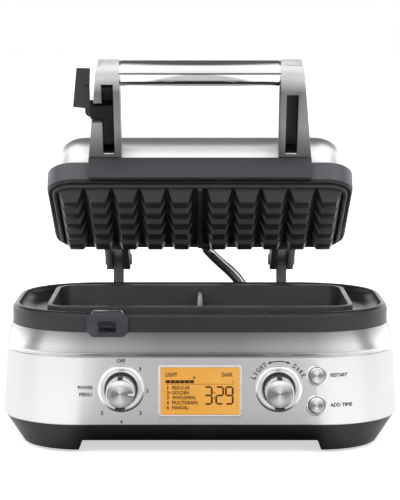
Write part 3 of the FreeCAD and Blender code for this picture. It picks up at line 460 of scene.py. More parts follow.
def shade(obj, angle):
    obj.data.shade_smooth()
    obj.data.set_sharp_from_angle(angle=math.radians(angle))


def plan_loop(half_x, half_y, radius, z, centre_y):
    """A rounded rectangle at height z, with its straight sides cut into short runs."""
    arcs = []
    for sx, sy, start in ((1, 1, 0), (-1, 1, 90), (-1, -1, 180), (1, -1, 270)):
        centre = Vector((sx * (half_x - radius), centre_y + sy * (half_y - radius), z))
        turns = [math.radians(start + 90 * i / CORNER_STEPS) for i in range(CORNER_STEPS + 1)]
        arcs.append([centre + radius * Vector((math.cos(t), math.sin(t), 0)) for t in turns])
    loop = []
    for here, after in zip(arcs, arcs[1:] + arcs[:1]):
        loop += here
        loop += [here[-1].lerp(after[0], i / SIDE_STEPS) for i in range(1, SIDE_STEPS)]
    return loop


def inset(plan, steps):
    """Plans drawn in from one plan (half x, half y, radius) by each (inset, z), all in mm."""
    half_x, half_y, radius = plan
    return [(half_x - d, half_y - d, radius - d, z) for d, z in steps]


def bend(centre, radius, start, end, steps=6):
    """Points (inset, z) along an arc."""
    turns = [math.radians(start + (end - start) * i / steps) for i in range(steps + 1)]
    return [(centre[0] + radius * math.cos(t), centre[1] + radius * math.sin(t)) for t in turns]


def skin(name, plans, mat, body, slot, nodes=(), lid=False, ring=False, crown=None, floor=False, smooth=40):
    """Skin through plans (half x, half y, radius, z) in mm round the middle of the housing.

    ring joins the last plan to the first, crown closes the last with a domed top of that rise,
    floor closes it flat, and lid means that the plans describe the closed lid.
    """
    loops = [plan_loop(hx * MM, hy * MM, max(r, 0.4) * MM, z * MM, MIDDLE_Y) for hx, hy, r, z in plans]
    if crown is not None:
        last = loops[-1]
        middle = Vector((0, MIDDLE_Y, last[0].z))
        for share in (0.9, 0.78, 0.62, 0.45, 0.25):
            rise = Vector((0, 0, crown * MM * (1 - share ** 2)))
            loops.append([middle.lerp(p, share) + rise for p in last])
    count = len(loops[0])
    verts = [p for loop in loops for p in loop]
    faces = []
    for level in range(len(loops) if ring else len(loops) - 1):
        a0, b0 = level * count, (level + 1) % len(loops) * count
        for i in range(count):
            j = (i + 1) % count
            faces.append((a0 + i, a0 + j, b0 + j, b0 + i))
    if crown is not None or floor:
        faces.append(tuple(range(len(verts) - count, len(verts))))
    return piece(name, verts, faces, mat, body, slot, nodes, lid, smooth)


def box_mesh(low, high):
    """Corners and faces of a box."""
    spans = list(zip(low, high))
    verts = [Vector((x, y, z)) for x in spans[0] for y in spans[1] for z in spans[2]]
    faces = [(0, 1, 3, 2), (4, 6, 7, 5), (0, 4, 5, 1), (2, 3, 7, 6), (0, 2, 6, 4), (1, 5, 7, 3)]
    return verts, faces


def rod_mesh(centre, radius, length, steps=64):
    """Corners and faces of a round bar along Y."""
    verts = []
    for y in (centre[1] - length / 2, centre[1] + length / 2):
        for i in range(steps):
            t = 2 * math.pi * i / steps
            verts.append(Vector((centre[0] + radius * math.cos(t), y, centre[2] + radius * math.sin(t))))
    return verts, bands(steps, 2) + [tuple(range(steps)), tuple(range(2 * steps - 1, steps - 1, -1))]


def carve(obj, cutters):
    """Cut closed meshes out of an object."""
    for verts, faces in cutters:
        mesh = mesh_of("cutter", verts, faces)
        work = bmesh.new()
        work.from_mesh(mesh)
        bmesh.ops.recalc_face_normals(work, faces=work.faces)
        work.to_mesh(mesh)
        work.free()
        cutter = placed("cutter", mesh)
        modifier = obj.modifiers.new("cut", "BOOLEAN")
        modifier.operation = "DIFFERENCE"
        modifier.solver = "EXACT"
        modifier.object = cutter
        apply_modifiers(obj)
        bpy.data.objects.remove(cutter)


def softened(node, mat, width, segments=3, angle=28):
    """A copy of a CAD node with its sharp edges rounded."""
    source = frame["nodes"][node]
    obj = placed(node + "_soft", source.data.copy())
    work = bmesh.new()
    work.from_mesh(obj.data)
    bmesh.ops.remove_doubles(work, verts=work.verts, dist=2e-6)
    bmesh.ops.dissolve_limit(work, angle_limit=math.radians(1.0), verts=work.verts, edges=work.edges)
    for edge in work.edges:
        edge.smooth = True
    work.to_mesh(obj.data)
    work.free()
    round_edges(obj, width, segments, angle)
    body = source["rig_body"]
    return settle(obj, mat, body, (node,), 35)


def round_edges(obj, width, segments=3, angle=28):
    """Bevel the sharp edges and apply it."""
    modifier = obj.modifiers.new("edges", "BEVEL")
    modifier.width = width
    modifier.segments = segments
    modifier.limit_method = "ANGLE"
    modifier.angle_limit = math.radians(angle)
    modifier.harden_normals = False
    modifier.use_clamp_overlap = True
    apply_modifiers(obj)


def apply_modifiers(obj):
    mesh = baked(obj)
    obj.modifiers.clear()
    obj.data = mesh


def block(name, shape, mat, body, slot, width, segments=3, lid=False, smooth=50, angle=28):
    """A piece made from its (corners, faces), with rounded edges."""
    obj = piece(name, *shape, mat, body, slot, lid=lid)
    round_edges(obj, width, segments, angle)
    shade(obj, smooth)


def lathe(name, profile, centre, mat, body, slot, nodes=()):
    """Turn a profile of (radius, depth behind the centre) in mm round the Y axis through the centre."""
    steps = 72
    verts = []
    for radius, depth in profile:
        for i in range(steps):
            t = 2 * math.pi * i / steps
            verts.append(centre + Vector((radius * math.cos(t), depth, radius * math.sin(t))) * MM)
    piece(name, verts, bands(steps, len(profile)), mat, body, slot, nodes, smooth=35)


def paint(node, mat):
    """Give a CAD node a material."""
    data = frame["nodes"][node].data
    data.materials.clear()
    data.materials.append(mat)
    shade(frame["nodes"][node], 30)


# ---- housing -------------------------------------------------------------------------

HOUSING_PLAN = (166.3, 101, 70)
HOUSING_TOP_PLAN = (163, 101, 69)
BAND_PLAN = (163.6, 101.6, 70)
RIM_PLAN = (158, 98, 70)
WELL_PLAN = (127.5, 69, 20)
SKIRT_PLAN = (128.2, 71.2, 24)
UPPER_PLAN = (123.5, 66, 17)
COVER_PLAN = (122, 62.8, 26)
PANEL_Y = HOUSING_LOW.y
PITCH = 23.1
FIRST_COLUMN = 16.3
TOOTH_ROOT = 22.2
TOOTH_TIP = 12.0
CORNERS = ((-1, -1), (1, -1), (1, 1), (-1, 1))
SLOT_X = 0.0753
TAB_X = -0.0885
ARM_LEAN = 33.5


def build_tray():
    softened("base_pan", TRAY_BLACK, 0.0009)
    for node in [n for n in frame["nodes"] if n.startswith("foot_pad")]:
        softened(node, RUBBER, 0.0008)


def build_housing():
    low, high = HOUSING_LOW.z / MM, HOUSING_HIGH.z / MM
    wall = 2
    plans = inset(HOUSING_PLAN, [(0.5, low), (0, low + 0.6)])
    plans += inset(HOUSING_TOP_PLAN, [(0, high - 0.5), (0.5, high), (wall, high)])
    plans += inset(HOUSING_PLAN, [(wall, low)])
    shell = skin("housing_wrap", plans, STEEL_PANEL, "base", "brushed_steel_skin", ["housing_shell"],
                 ring=True)
    low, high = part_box("display_lens")
    reach = 0.006
    cutters = [box_mesh((low.x, PANEL_Y - reach, low.z), (high.x, PANEL_Y + reach, high.z))]
    for name, radius in (("menu_shaft", 0.0055), ("browning_shaft", 0.0055),
                         ("restart_button", 0.0072), ("extra_button", 0.0072)):
        cutters.append(rod_mesh(middle(name, PANEL_Y), radius, 2 * reach))
    carve(shell, cutters)
    shade(shell, 30)


def middle(node, y):
    """Middle of a node seen from the front, at depth y."""
    low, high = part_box(node)
    return Vector(((low.x + high.x) / 2, y, (low.z + high.z) / 2))


def build_band():
    high = (158, 98, 69)
    groove, bottom, flare, top = 80, 81.2, 82.6, 100
    plans = inset(BAND_PLAN, [(1.8, groove), (1.8, bottom), (1.1, bottom), (0.3, bottom + 0.5), (0, flare)])
    steps = 9
    for i in range(1, steps):
        share = i / steps
        sizes = [a + (b - a) * share ** 1.25 for a, b in zip(BAND_PLAN, high)]
        plans.append((*sizes, flare + (top - flare) * share))
    plans += inset(high, [(0, top), (4, top), (4, groove)])
    skin("trim_band_skin", plans, STEEL_BAND, "base", "brushed_steel_skin", ["trim_band"], ring=True)


def build_rim():
    low, floor, top = 100.2, 106, 116
    edge, moat, round_top = 5.2, 10.0, 4.3
    steps = [(0, low), (0, top - round_top - 0.2)] + bend((round_top, top - round_top), round_top, 180, 90)
    steps += bend((edge + moat, top - 0.4), moat, 180, 270, 10)
    plans = inset(RIM_PLAN, steps)
    gap = -0.8
    plans += inset(WELL_PLAN, [(gap, floor), (gap, low)])
    rim = skin("rim_deck_skin", plans, RIM_DARK, "base", "dark_frame", ["rim_deck"], ring=True, smooth=50)
    low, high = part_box("latch_socket")
    pocket = middle("latch_socket", low.y)
    half, pocket_low, pocket_high = 0.007, 0.1003, 0.1093
    carve(rim, [box_mesh((pocket.x - half, low.y - 0.002, pocket_low),
                         (pocket.x + half, high.y - 0.002, pocket_high))])
    shade(rim, 50)


def build_socket():
    softened("latch_socket", FRAME_EDGE, 0.0008, angle=20)
    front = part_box("latch_socket")[0].y
    x = middle("latch_socket", front).x
    half, low, high = 0.0071, 0.1002, 0.1094
    width, proud, edge = 0.0013, 0.0006, 0.0002
    rings = [(width, 0.0), (width, edge - proud), (width - edge, -proud), (edge, -proud), (0, 0.0)]
    verts = []
    for grow, depth in rings:
        for side, z in ((-1, low - grow), (1, low - grow), (1, high + grow), (-1, high + grow)):
            verts.append((x + side * (half + grow), front + depth, z))
    block("latch_socket_frame", (verts, bands(4, len(rings))), FRAME_EDGE, "base", "dark_frame", 0.0003, 2,
          smooth=35)


def tooth_block(root_z, tip_z):
    """The fifty teeth of one plate, with sloping sides."""
    verts, faces = [], []
    for side in (-1, 1):
        for column in range(5):
            for row in range(5):
                x = side * (FIRST_COLUMN + column * PITCH) * MM
                y = MIDDLE_Y + (row - 2) * PITCH * MM
                first = len(verts)
                for size, z in ((TOOTH_ROOT, root_z), (TOOTH_TIP, tip_z)):
                    half = size / 2 * MM
                    verts += [(x + sx * half, y + sy * half, z * MM) for sx, sy in CORNERS]
                faces += bands(4, 2, first)
                faces.append((first + 4, first + 5, first + 6, first + 7))
                faces.append((first + 3, first + 2, first + 1, first))
    return verts, faces


def build_lower_plate():
    top, floor, bottom = 117, 88, 100
    lip = 4
    steps = [(0, bottom)] + bend((0.9, top - 0.9), 0.9, 180, 90, 4)
    steps += bend((lip - 0.9, top - 0.9), 0.9, 90, 0, 4)
    plans = inset(WELL_PLAN, steps + [(lip + 1.2, floor + 3), (lip + 1.9, floor + 0.9), (lip + 4, floor)])
    skin("lower_plate_well", plans, PLATE_DARK, "base", "nonstick_plate", ["lower_plate"], floor=True)
    finish = PLATE_DARK, "base", "nonstick_plate"
    block("lower_plate_teeth", tooth_block(floor - 0.3, 99.5), *finish, 0.0009)
    block("lower_plate_divider", divider_mesh(3.0, 2.1, floor - 0.3, 113, 66.4), *finish, 0.0008)


def divider_mesh(foot_half, top_half, foot_z, top_z, half_y):
    """Bar along Y between the two halves of a plate, narrower at its free edge."""
    verts = []
    for half, z in ((foot_half, foot_z), (top_half, top_z)):
        for sx, sy in CORNERS:
            verts.append((sx * half * MM, MIDDLE_Y + sy * half_y * MM, z * MM))
    return verts, bands(4, 2) + [(4, 5, 6, 7), (3, 2, 1, 0)]


# ---- lid -----------------------------------------------------------------------------

def build_upper_plate():
    lip_z, face, back = 117.3, 121, 125
    width, edge = 3.4, 0.8
    steps = [(0, back)] + bend((edge, lip_z + edge), edge, 180, 270, 4)
    steps += bend((width - edge, lip_z + edge), edge, 270, 360, 4)
    steps += [(width + 0.2, face - 0.7), (width + 1.2, face)]
    finish = PLATE_DARK, "lid", "nonstick_plate"
    skin("upper_plate_face", inset(UPPER_PLAN, steps), *finish, ["upper_plate"], lid=True, floor=True)
    block("upper_plate_teeth", tooth_block(face + 0.4, 109.5), *finish, 0.0008, lid=True)
    divider = divider_mesh(2.2, 1.7, face + 0.4, lip_z - 2, 63.4)
    block("upper_plate_divider", divider, *finish, 0.0006, lid=True)


def build_skirt():
    low, split, high = 119.7, 122.2, 138
    steps = [(3, split), (0.8, split)] + bend((0.7, split + 0.7), 0.7, 270, 180, 4)
    steps += bend((1.2, high - 1.2), 1.2, 180, 90, 5) + [(3, high)]
    skin("lid_skirt_skin", inset(SKIRT_PLAN, steps), SKIRT_GREY, "lid", "dark_frame", ["lid_skirt"],
         lid=True, ring=True, smooth=50)
    # The skirt's underside gets the near-black colour of painted shade.
    plans = inset(SKIRT_PLAN, [(1.0, split), (0.9, low + 0.6), (1.3, low + 0.1), (3.4, low + 0.1)])
    plans += inset(UPPER_PLAN, [(-0.1, low + 0.6), (-0.1, low + 2.4)])
    skin("lid_underside_rim", plans, UNDERSIDE_PAINTED_SHADE, "lid", "dark_frame", lid=True)


def build_clips():
    """Two small catches under the front of the lid that hold the plate in."""
    for side, name in ((-1, "left"), (1, "right")):
        foot = Vector((side * 0.098, MIDDLE_Y - SKIRT_PLAN[1] * MM + 0.004, 0.1196))
        shape = box_mesh(foot - Vector((0.0032, 0.0014, 0)), foot + Vector((0.0032, 0.0014, 0.0026)))
        block("plate_clip_" + name, shape, HINGE_BLACK, "lid", "dark_frame", 0.0009, 4, lid=True)


def build_slot_ends():
    """Bright sill across the lower end of the channel in each arm."""
    root, along, inward = arm_place()
    for side, name in ((-1, "left"), (1, "right")):
        half, x = 0.0047, side * SLOT_X
        verts, faces = box_mesh((x - half, 0.0005, 0.0022), (x + half, 0.004, 0.0034))
        verts = [Vector((v.x, 0, 0)) + root + inward * v.y + along * v.z for v in verts]
        block("channel_sill_" + name, (verts, faces), BEZEL_METAL, "lid", "cast_arm", 0.0004, lid=True)


def build_cover():
    low, high, edge = 138, 171.5, 18
    steps = [(1.2, low + 0.1), (0, low + 1.0), (0, high - edge)]
    steps += bend((edge, high - edge), edge, 180, 92, 12)[1:]
    skin("lid_cover_skin", inset(COVER_PLAN, steps), STEEL_COVER, "lid", "brushed_steel_skin", ["lid_cover"],
         lid=True, crown=2.2, smooth=60)
    softened("lid_ledge", FRAME_DARK, 0.0004)


def build_handle():
    softened("handle_bracket", FRAME_DARK, 0.0009)
    for node in ("handle_arm_left", "handle_arm_right"):
        darken_channel(softened(node, ARM_METAL, 0.0014, 4, angle=20))
    lever = softened("latch_lever", LATCH_BLACK, 0.0009, 3)
    lever.data.materials.append(TAB_GREY)
    for face in lever.data.polygons:
        if face.center.x < TAB_X:
            face.material_index = 1
    build_tube()
    paint("latch_pin", STEEL_PLAIN)


def arm_place():
    """Root of the handle arms, the way along them and the way into them, on the closed lid."""
    low, high = closed_box("handle_bracket")
    lean = math.radians(ARM_LEAN)
    along = Vector((0, -math.cos(lean), math.sin(lean)))
    inward = Vector((0, math.sin(lean), math.cos(lean)))
    return Vector((0, low.y, high.z)), along, inward


def darken_channel(arm):
    """Give the walls and floor of the channel in an arm's front a black finish."""
    root, along, inward = arm_place()
    arm.data.materials.append(CHANNEL_BLACK)
    half, front, back, end = 0.0049, 0.0012, 0.0165, 0.069
    for face in arm.data.polygons:
        place = TO_CLOSED @ face.center - root
        deep = front < place.dot(inward) < back
        if deep and abs(abs(place.x) - SLOT_X) < half and place.dot(along) < end:
            face.material_index = 1


def build_tube():
    """Grip tube with a shallow shoulder where it meets each arm."""
    low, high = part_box("handle_tube")
    centre = (low + high) / 2
    radius = (high.z - low.z) / 2
    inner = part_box("handle_arm_right")[0].x
    groove = 0.0003
    profile = [(radius * 0.86, low.x), (radius, low.x + 0.0002), (radius, -inner - 0.0002)]
    profile += [(radius - groove, -inner + 0.0006), (radius - groove, -inner + 0.0012)]
    profile += [(radius, -inner + 0.0018)]
    profile += [(r, -x) for r, x in reversed(profile)]
    steps = 96
    verts = []
    for r, x in profile:
        for i in range(steps):
            t = 2 * math.pi * i / steps
            verts.append((x, centre.y + r * math.cos(t), centre.z + r * math.sin(t)))
    piece("handle_tube_skin", verts, bands(steps, len(profile)), TUBE_METAL, "lid", "polished_tube",
          ["handle_tube"], smooth=30)


# ---- hinges and conduit --------------------------------------------------------------

def build_hinges():
    for side in ("left", "right"):
        softened("hinge_post_" + side, POST_GREY, 0.0009)
        softened("hinge_arms_" + side, HINGE_BLACK, 0.0008)
        paint("hinge_pin_" + side, STEEL_PLAIN)


def build_conduit():
    """Bright conduit that leaves the rear wall, turns up and enters the lid."""
    start, end = [Vector(((low.x + high.x) / 2, low.y + 0.003, (low.z + high.z) / 2))
                  for low, high in (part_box("conduit_gland_base"), closed_box("conduit_gland_lid"))]
    base_run, lid_run, rise = Vector((0, 0.028, 0)), Vector((0, 0.023, 0)), Vector((0, 0, 0.044))
    points = [start, start + base_run * 0.4, start + base_run, start + base_run + rise,
              TO_REST @ (end + lid_run), TO_REST @ (end + lid_run * 0.4), TO_REST @ end]
    curve = bpy.data.curves.new("conduit_line", "CURVE")
    curve.dimensions = "3D"
    curve.bevel_depth = 0.0053
    curve.bevel_resolution = 12
    curve.resolution_u = 16
    line = curve.splines.new("NURBS")
    line.points.add(len(points) - 1)
    for point, place in zip(line.points, points):
        point.co = (*place, 1)
    line.order_u = 3
    line.use_endpoint_u = True
    source = placed("conduit_line", curve)
    mesh = baked(source)
    bpy.data.objects.remove(source)
    tube = placed("conduit_tube", mesh)
    mesh.materials.clear()
    mesh.materials.append(CONDUIT_METAL)
    shade(tube, 40)
    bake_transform(tube)
    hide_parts("conduit")


# ---- control panel -------------------------------------------------------------------

def panel_depth(x, z):
    """Depth of the panel's surface at x and z, round its corners too."""
    share = (z - HOUSING_LOW.z) / (HOUSING_HIGH.z - HOUSING_LOW.z)
    half, _, radius = [(a + (b - a) * share) * MM for a, b in zip(HOUSING_PLAN, HOUSING_TOP_PLAN)]
    over = max(0.0, abs(x) - (half - radius))
    return PANEL_Y + radius - math.sqrt(max(0.0, radius ** 2 - over ** 2))


def thickened(source, size, bold):
    """Outline of a word with thicker strokes; its tiny edges go first, as they would cross over."""
    outline = bpy.data.curves.new("outline", "CURVE")
    outline.dimensions = "2D"
    outline.fill_mode = "BOTH"
    outline.resolution_u = 3
    outline.offset = size * bold
    for loop in source.to_curve(bpy.context.evaluated_depsgraph_get()).splines:
        kept = []
        for point in loop.bezier_points:
            if not kept or (point.co - kept[-1].co).length > 0.02 * size:
                kept.append(point)
        spline = outline.splines.new("BEZIER")
        spline.bezier_points.add(len(kept) - 1)
        spline.use_cyclic_u = True
        for new, old in zip(spline.bezier_points, kept):
            new.co, new.handle_left, new.handle_right = old.co, old.handle_left, old.handle_right
    source.to_curve_clear()
    return outline


def text_mesh(text, size, bold):
    """Outline of a word as flat faces in X and Z, centred on its own middle."""
    curve = bpy.data.curves.new("word", "FONT")
    curve.body = text
    curve.size = size
    curve.align_x = "CENTER"
    curve.align_y = "CENTER"
    source = placed("word", curve)
    bpy.context.view_layer.update()
    shape = placed("outline", thickened(source, size, bold))
    bpy.data.objects.remove(source)
    mesh = baked(shape)
    bpy.data.objects.remove(shape)
    points = [(v.co.x, v.co.y) for v in mesh.vertices]
    faces = [tuple(p.vertices) for p in mesh.polygons]
    bpy.data.meshes.remove(mesh)
    return points, faces


def turned(points, x, z, angle):
    """Turn flat points by an angle in degrees and move them to x and z."""
    c, s = math.cos(math.radians(angle)), math.sin(math.radians(angle))
    return [(x + c * u - s * v, z + s * u + c * v) for u, v in points]


def fitted(text, width, height):
    """A word as flat points, stretched to a width and a cap height."""
    points, faces = text_mesh(text, 0.01, 0.03)
    xs, zs = [p[0] for p in points], [p[1] for p in points]
    mx, mz = (min(xs) + max(xs)) / 2, (min(zs) + max(zs)) / 2
    across, up = width / (max(xs) - min(xs)), height / (max(zs) - min(zs))
    return [((u - mx) * across, (v - mz) * up) for u, v in points], faces


def printed(name, shapes, mat, body, slot, depth, proud=0.00008):
    """Join flat shapes [(points, faces)] in X and Z into one thin print on a surface."""
    verts, faces = [], []
    for points, polygons in shapes:
        first = len(verts)
        verts += [(x, depth(x, z) - proud, z) for x, z in points]
        faces += [tuple(first + i for i in polygon) for polygon in polygons]
    obj = piece(name, verts, faces, mat, body, slot)
    modifier = obj.modifiers.new("thick", "SOLIDIFY")
    modifier.thickness = proud * 0.8
    apply_modifiers(obj)
    return obj


def word(text, x, z, width, height, angle=0.0):
    points, faces = fitted(text, width * MM, height * MM)
    return turned(points, x * MM, z * MM, angle), faces


def flat(points):
    """One polygon given in mm."""
    return [(x * MM, z * MM) for x, z in points], [tuple(range(len(points)))]


def arc_strip(x, z, radius, start, end, width):
    """A curved line of a width round a centre, in mm."""
    steps = 24
    points, faces = [], []
    for i in range(steps + 1):
        t = math.radians(start + (end - start) * i / steps)
        for r in (radius - width / 2, radius + width / 2):
            points.append(((x + r * math.cos(t)) * MM, (z + r * math.sin(t)) * MM))
    for i in range(steps):
        faces.append((2 * i, 2 * i + 2, 2 * i + 3, 2 * i + 1))
    return points, faces


def arrow_head(x, z, radius, angle, way, size):
    """A small arrow head that ends a curved line."""
    t = math.radians(angle)
    centre = Vector((x + radius * math.cos(t), z + radius * math.sin(t)))
    along = Vector((-math.sin(t), math.cos(t))) * way
    across = Vector((math.cos(t), math.sin(t)))
    tip = centre + along * size * 1.3
    return flat([tuple(centre - across * size * 0.55), tuple(centre + across * size * 0.55), tuple(tip)])


def curved_word(text, x, z, radius, centre_angle, letter_step, height):
    """Letters set one by one round a centre."""
    shapes = []
    first = centre_angle + letter_step * (len(text) - 1) / 2
    for i, letter in enumerate(text):
        angle = first - letter_step * i
        t = math.radians(angle)
        width = height * (0.2 if letter == "I" else 0.62)
        shapes.append(word(letter, x + radius * math.cos(t), z + radius * math.sin(t), width, height,
                           angle - 90))
    return shapes


NUMBER_PLACES = ((15.6, 16.4), (21.2, -1.6), (15.6, -20), (0, -27.2), (-15.6, -20))


def build_legends():
    """The panel's words and numbers, placed in mm from the knobs and buttons."""
    menu, browning = middle("menu_knob", 0) / MM, middle("browning_knob", 0) / MM
    height, button_height, arc_height = 3.2, 3.0, 3.9
    shapes = [word("OFF", menu.x, menu.z + 23.0, 7.2, height)]
    for number, (dx, dz) in enumerate(NUMBER_PLACES, 1):
        shapes.append(word(str(number), menu.x + dx, menu.z + dz, 1.1 if number == 1 else 2.1, height - 0.2))
    shapes.append(word("POWER", -93.0, 55.0, 12.4, height))
    shapes.append(word("MENU", -93.0, 49.4, 10.2, height))
    restart, extra = middle("restart_button", 0) / MM, middle("extra_button", 0) / MM
    shapes.append(word("RESTART", 112.9, restart.z, 14.0, button_height))
    shapes.append(word("ADD TIME", 115.0, extra.z, 18.2, button_height))
    arc = browning.x, browning.z, 22.6
    shapes += curved_word("LIGHT", *arc, 138, 8.6, arc_height)
    shapes += curved_word("DARK", *arc, 42, 9.0, arc_height)
    shapes.append(arc_strip(*arc, 73, 107, 0.8))
    shapes.append(arrow_head(*arc, 107, 1, 2.2))
    shapes.append(arrow_head(*arc, 73, -1, 2.2))
    printed("panel_legends", shapes, INK, "base", "component_plastic", panel_depth)


SEGMENTS = {"2": "abged", "3": "abgcd", "9": "abgcdf"}


def seven_segment(digit, x, z, width, height, thick):
    """A seven-segment digit from its lower left corner, in mm."""
    h = height / 2
    lines = {"a": (0, 2 * h, 1, 0), "g": (0, h, 1, 0), "d": (0, 0, 1, 0), "f": (0, h, 0, 1),
             "e": (0, 0, 0, 1), "b": (width, h, 0, 1), "c": (width, 0, 0, 1)}
    shapes = []
    gap = thick * 0.6
    for key in SEGMENTS[digit]:
        u, v, flat_way, up_way = lines[key]
        length = (width if flat_way else h) - 2 * gap
        a = Vector((x + u + gap * flat_way, z + v + gap * up_way))
        way = Vector((flat_way, up_way))
        side = Vector((up_way, flat_way)) * thick / 2
        ends = [a - side, a - way * thick / 2, a + side, a + way * length + side,
                a + way * (length + thick / 2), a + way * length - side]
        shapes.append(flat([tuple(p) for p in ends]))
    return shapes


def rectangle(x0, x1, z0, z1):
    return flat([(x0, z0), (x1, z0), (x1, z1), (x0, z1)])


def build_display():
    softened("display_bezel", BEZEL_METAL, 0.0004, 3)
    paint("display_lens", WINDOW)
    low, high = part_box("display_module")
    verts, faces = box_mesh(low, high)
    module = piece("display_panel", verts, faces, GLOW, "base", "display_glow", ["display_module"])
    round_edges(module, 0.0004, 2)
    z0 = middle("display_lens", 0).z / MM
    shapes = [word("LIGHT", -23.2, z0 + 13.2, 9.6, 3.4), word("DARK", 22.3, z0 + 13.2, 9.2, 3.4)]
    shapes.append(flat([(-6.0, z0 + 11.3), (-3.6, z0 + 11.3), (-4.8, z0 + 9.4)]))
    left, right, bar_pitch, bar = -27.9, 27.0, 3.88, 3.6
    for i in range(6):
        shapes.append(rectangle(left + bar_pitch * i, left + bar_pitch * i + bar, z0 + 6.1, z0 + 8.7))
    shapes.append(rectangle(left, right, z0 + 5.2, z0 + 5.5))
    shapes.append(rectangle(right - 0.3, right, z0 + 5.2, z0 + 8.9))
    first_row, row_pitch = z0 + 2.5, 4.13
    rows = (("REGULAR", 14.6), ("GOLDEN", 13.6), ("WHOLEMEAL", 19.4), ("MULTIGRAIN", 20.8), ("MANUAL", 13.4))
    for i, (text, width) in enumerate(rows):
        z = first_row - row_pitch * i
        shapes.append(word(str(i + 1), -26.2, z, 0.9 if i == 0 else 1.9, 3.1))
        shapes.append(word(text, -22.7 + width / 2, z, width, 3.1))
    marker = first_row - row_pitch
    shapes.append(flat([(-24.9, marker + 0.9), (-24.9, marker - 0.9), (-23.5, marker)]))
    digit_z, digit_high, thick = z0 - 10.9, 13.9, 1.5
    for digit, x in (("3", 4.0), ("2", 13.2), ("9", 21.0)):
        shapes += seven_segment(digit, x, digit_z, 5.6, digit_high, thick)
    for z in (digit_z + 4.6, digit_z + 9.3):
        shapes.append(rectangle(11.0, 12.0, z - 0.5, z + 0.5))
    printed("display_segments", shapes, LCD_INK, "base", "display_glow", lambda x, z: low.y, 0.0001)
    for node in ("control_board", "restart_switch", "extra_switch", "menu_encoder", "browning_encoder"):
        paint(node, BOARD_GREEN if node == "control_board" else PART_BLACK)


def build_dials():
    for name in ("menu", "browning"):
        centre = middle(name + "_knob", PANEL_Y)
        ring = [(19.2, 0), (19.15, -0.5), (18.5, -1.35), (17.8, -1.85), (17.0, -2.0), (14.9, -1.9),
                (14.1, -1.7), (13.8, -1.2), (13.8, -0.6), (3.7, -0.6)]
        turned_part(name + "_ring", ring, centre, RING_PAINTED_SHEEN, "base", "ring_metal", name + "_dial_ring")
        body = name + "_dial"
        collar = [(3.0, -2.3), (13.3, -2.3), (13.4, -2.6), (13.3, -2.9), (11.6, -3.0)]
        lathe(name + "_knob_collar", collar, centre, PART_BLACK, body, "knob_metal")
        grip = [(11.9, -2.6), (11.95, -4.5), (11.75, -12), (11.5, -22.6), (11.3, -23.4), (11.0, -23.8),
                (10.7, -23.9), (10.6, -23.6), (3.0, -23.5)]
        lathe(name + "_knob_grip", grip, centre, KNOB_METAL, body, "knob_metal", [name + "_knob"])
        face = [(10.55, -23.4), (10.5, -23.75), (10.3, -23.88), (6.0, -23.84), (0.02, -23.8)]
        turned_part(name + "_cap", face, centre, CAP_PAINTED_SHEEN, body, "brushed_cap", name + "_knob_cap")
        knob_inlays(name, centre, body)
        paint(name + "_shaft", STEEL_PLAIN)


def turned_part(name, profile, centre, painted_sheen, body, slot, node):
    """A spun-metal ring or cap that stands for a node."""
    lathe(name + "_turned", profile, centre, spun_metal(name + "_spun", centre, painted_sheen), body, slot, [node])


def inlay(name, centre, body, start, end, r_in, r_out, y_front, y_back, mat):
    """A curved block set in the side of a knob between two angles."""
    steps = 8
    verts = []
    for i in range(steps + 1):
        t = math.radians(start + (end - start) * i / steps)
        for r, y in ((r_in, y_back), (r_out, y_back), (r_out, y_front), (r_in, y_front)):
            verts.append(centre + Vector((r * math.cos(t), y, r * math.sin(t))) * MM)
    faces = bands(4, steps + 1) + [(0, 1, 2, 3), tuple(4 * steps + k for k in (3, 2, 1, 0))]
    block(name, (verts, faces), mat, body, "component_plastic", 0.0002, 2, smooth=40, angle=50)


def knob_inlays(name, centre, body):
    inlay(name + "_grip_mark_top", centre, body, 80, 100, 11.0, 12.1, -23.3, -9.5, INK)
    inlay(name + "_grip_mark_bottom", centre, body, 251, 289, 11.0, 12.9, -23.6, -14, INK)
    if name == "menu":
        inlay(name + "_pointer", centre, body, -9, 3, 6.6, 11.6, -24.0, -22, POINTER)
        inlay(name + "_pointer_edge", centre, body, -12, -9.4, 7.6, 11.6, -23.98, -22, INK)


def build_buttons():
    for name in ("restart", "extra"):
        centre = middle(name + "_button", PANEL_Y)
        ring = [(8.7, 0), (8.65, -0.4), (8.3, -0.9), (7.8, -1.2), (7.3, -1.15), (7.05, -0.9), (7.05, 1.5)]
        turned_part(name + "_ring", ring, centre, RING_PAINTED_SHEEN, "base", "ring_metal", name + "_button_ring")
        cap = [(6.7, 2.4), (6.7, -1.9), (6.5, -2.5), (6.1, -2.85), (5.4, -2.98), (3.0, -2.86), (0.02, -2.8)]
        turned_part(name + "_cap", cap, centre, CAP_PAINTED_SHEEN, name + "_push", "knob_metal", name + "_button")


def build_inside():
    for node in ("heating_element", "heat_shield"):
        paint("lower_" + node, STEEL_PLAIN)
        paint("upper_" + node, STEEL_PLAIN)
    for node in ("cord_gland", "conduit_gland_base", "conduit_gland_lid"):
        softened(node, PART_BLACK, 0.0005, 2)


# ---- floor, light and camera ---------------------------------------------------------

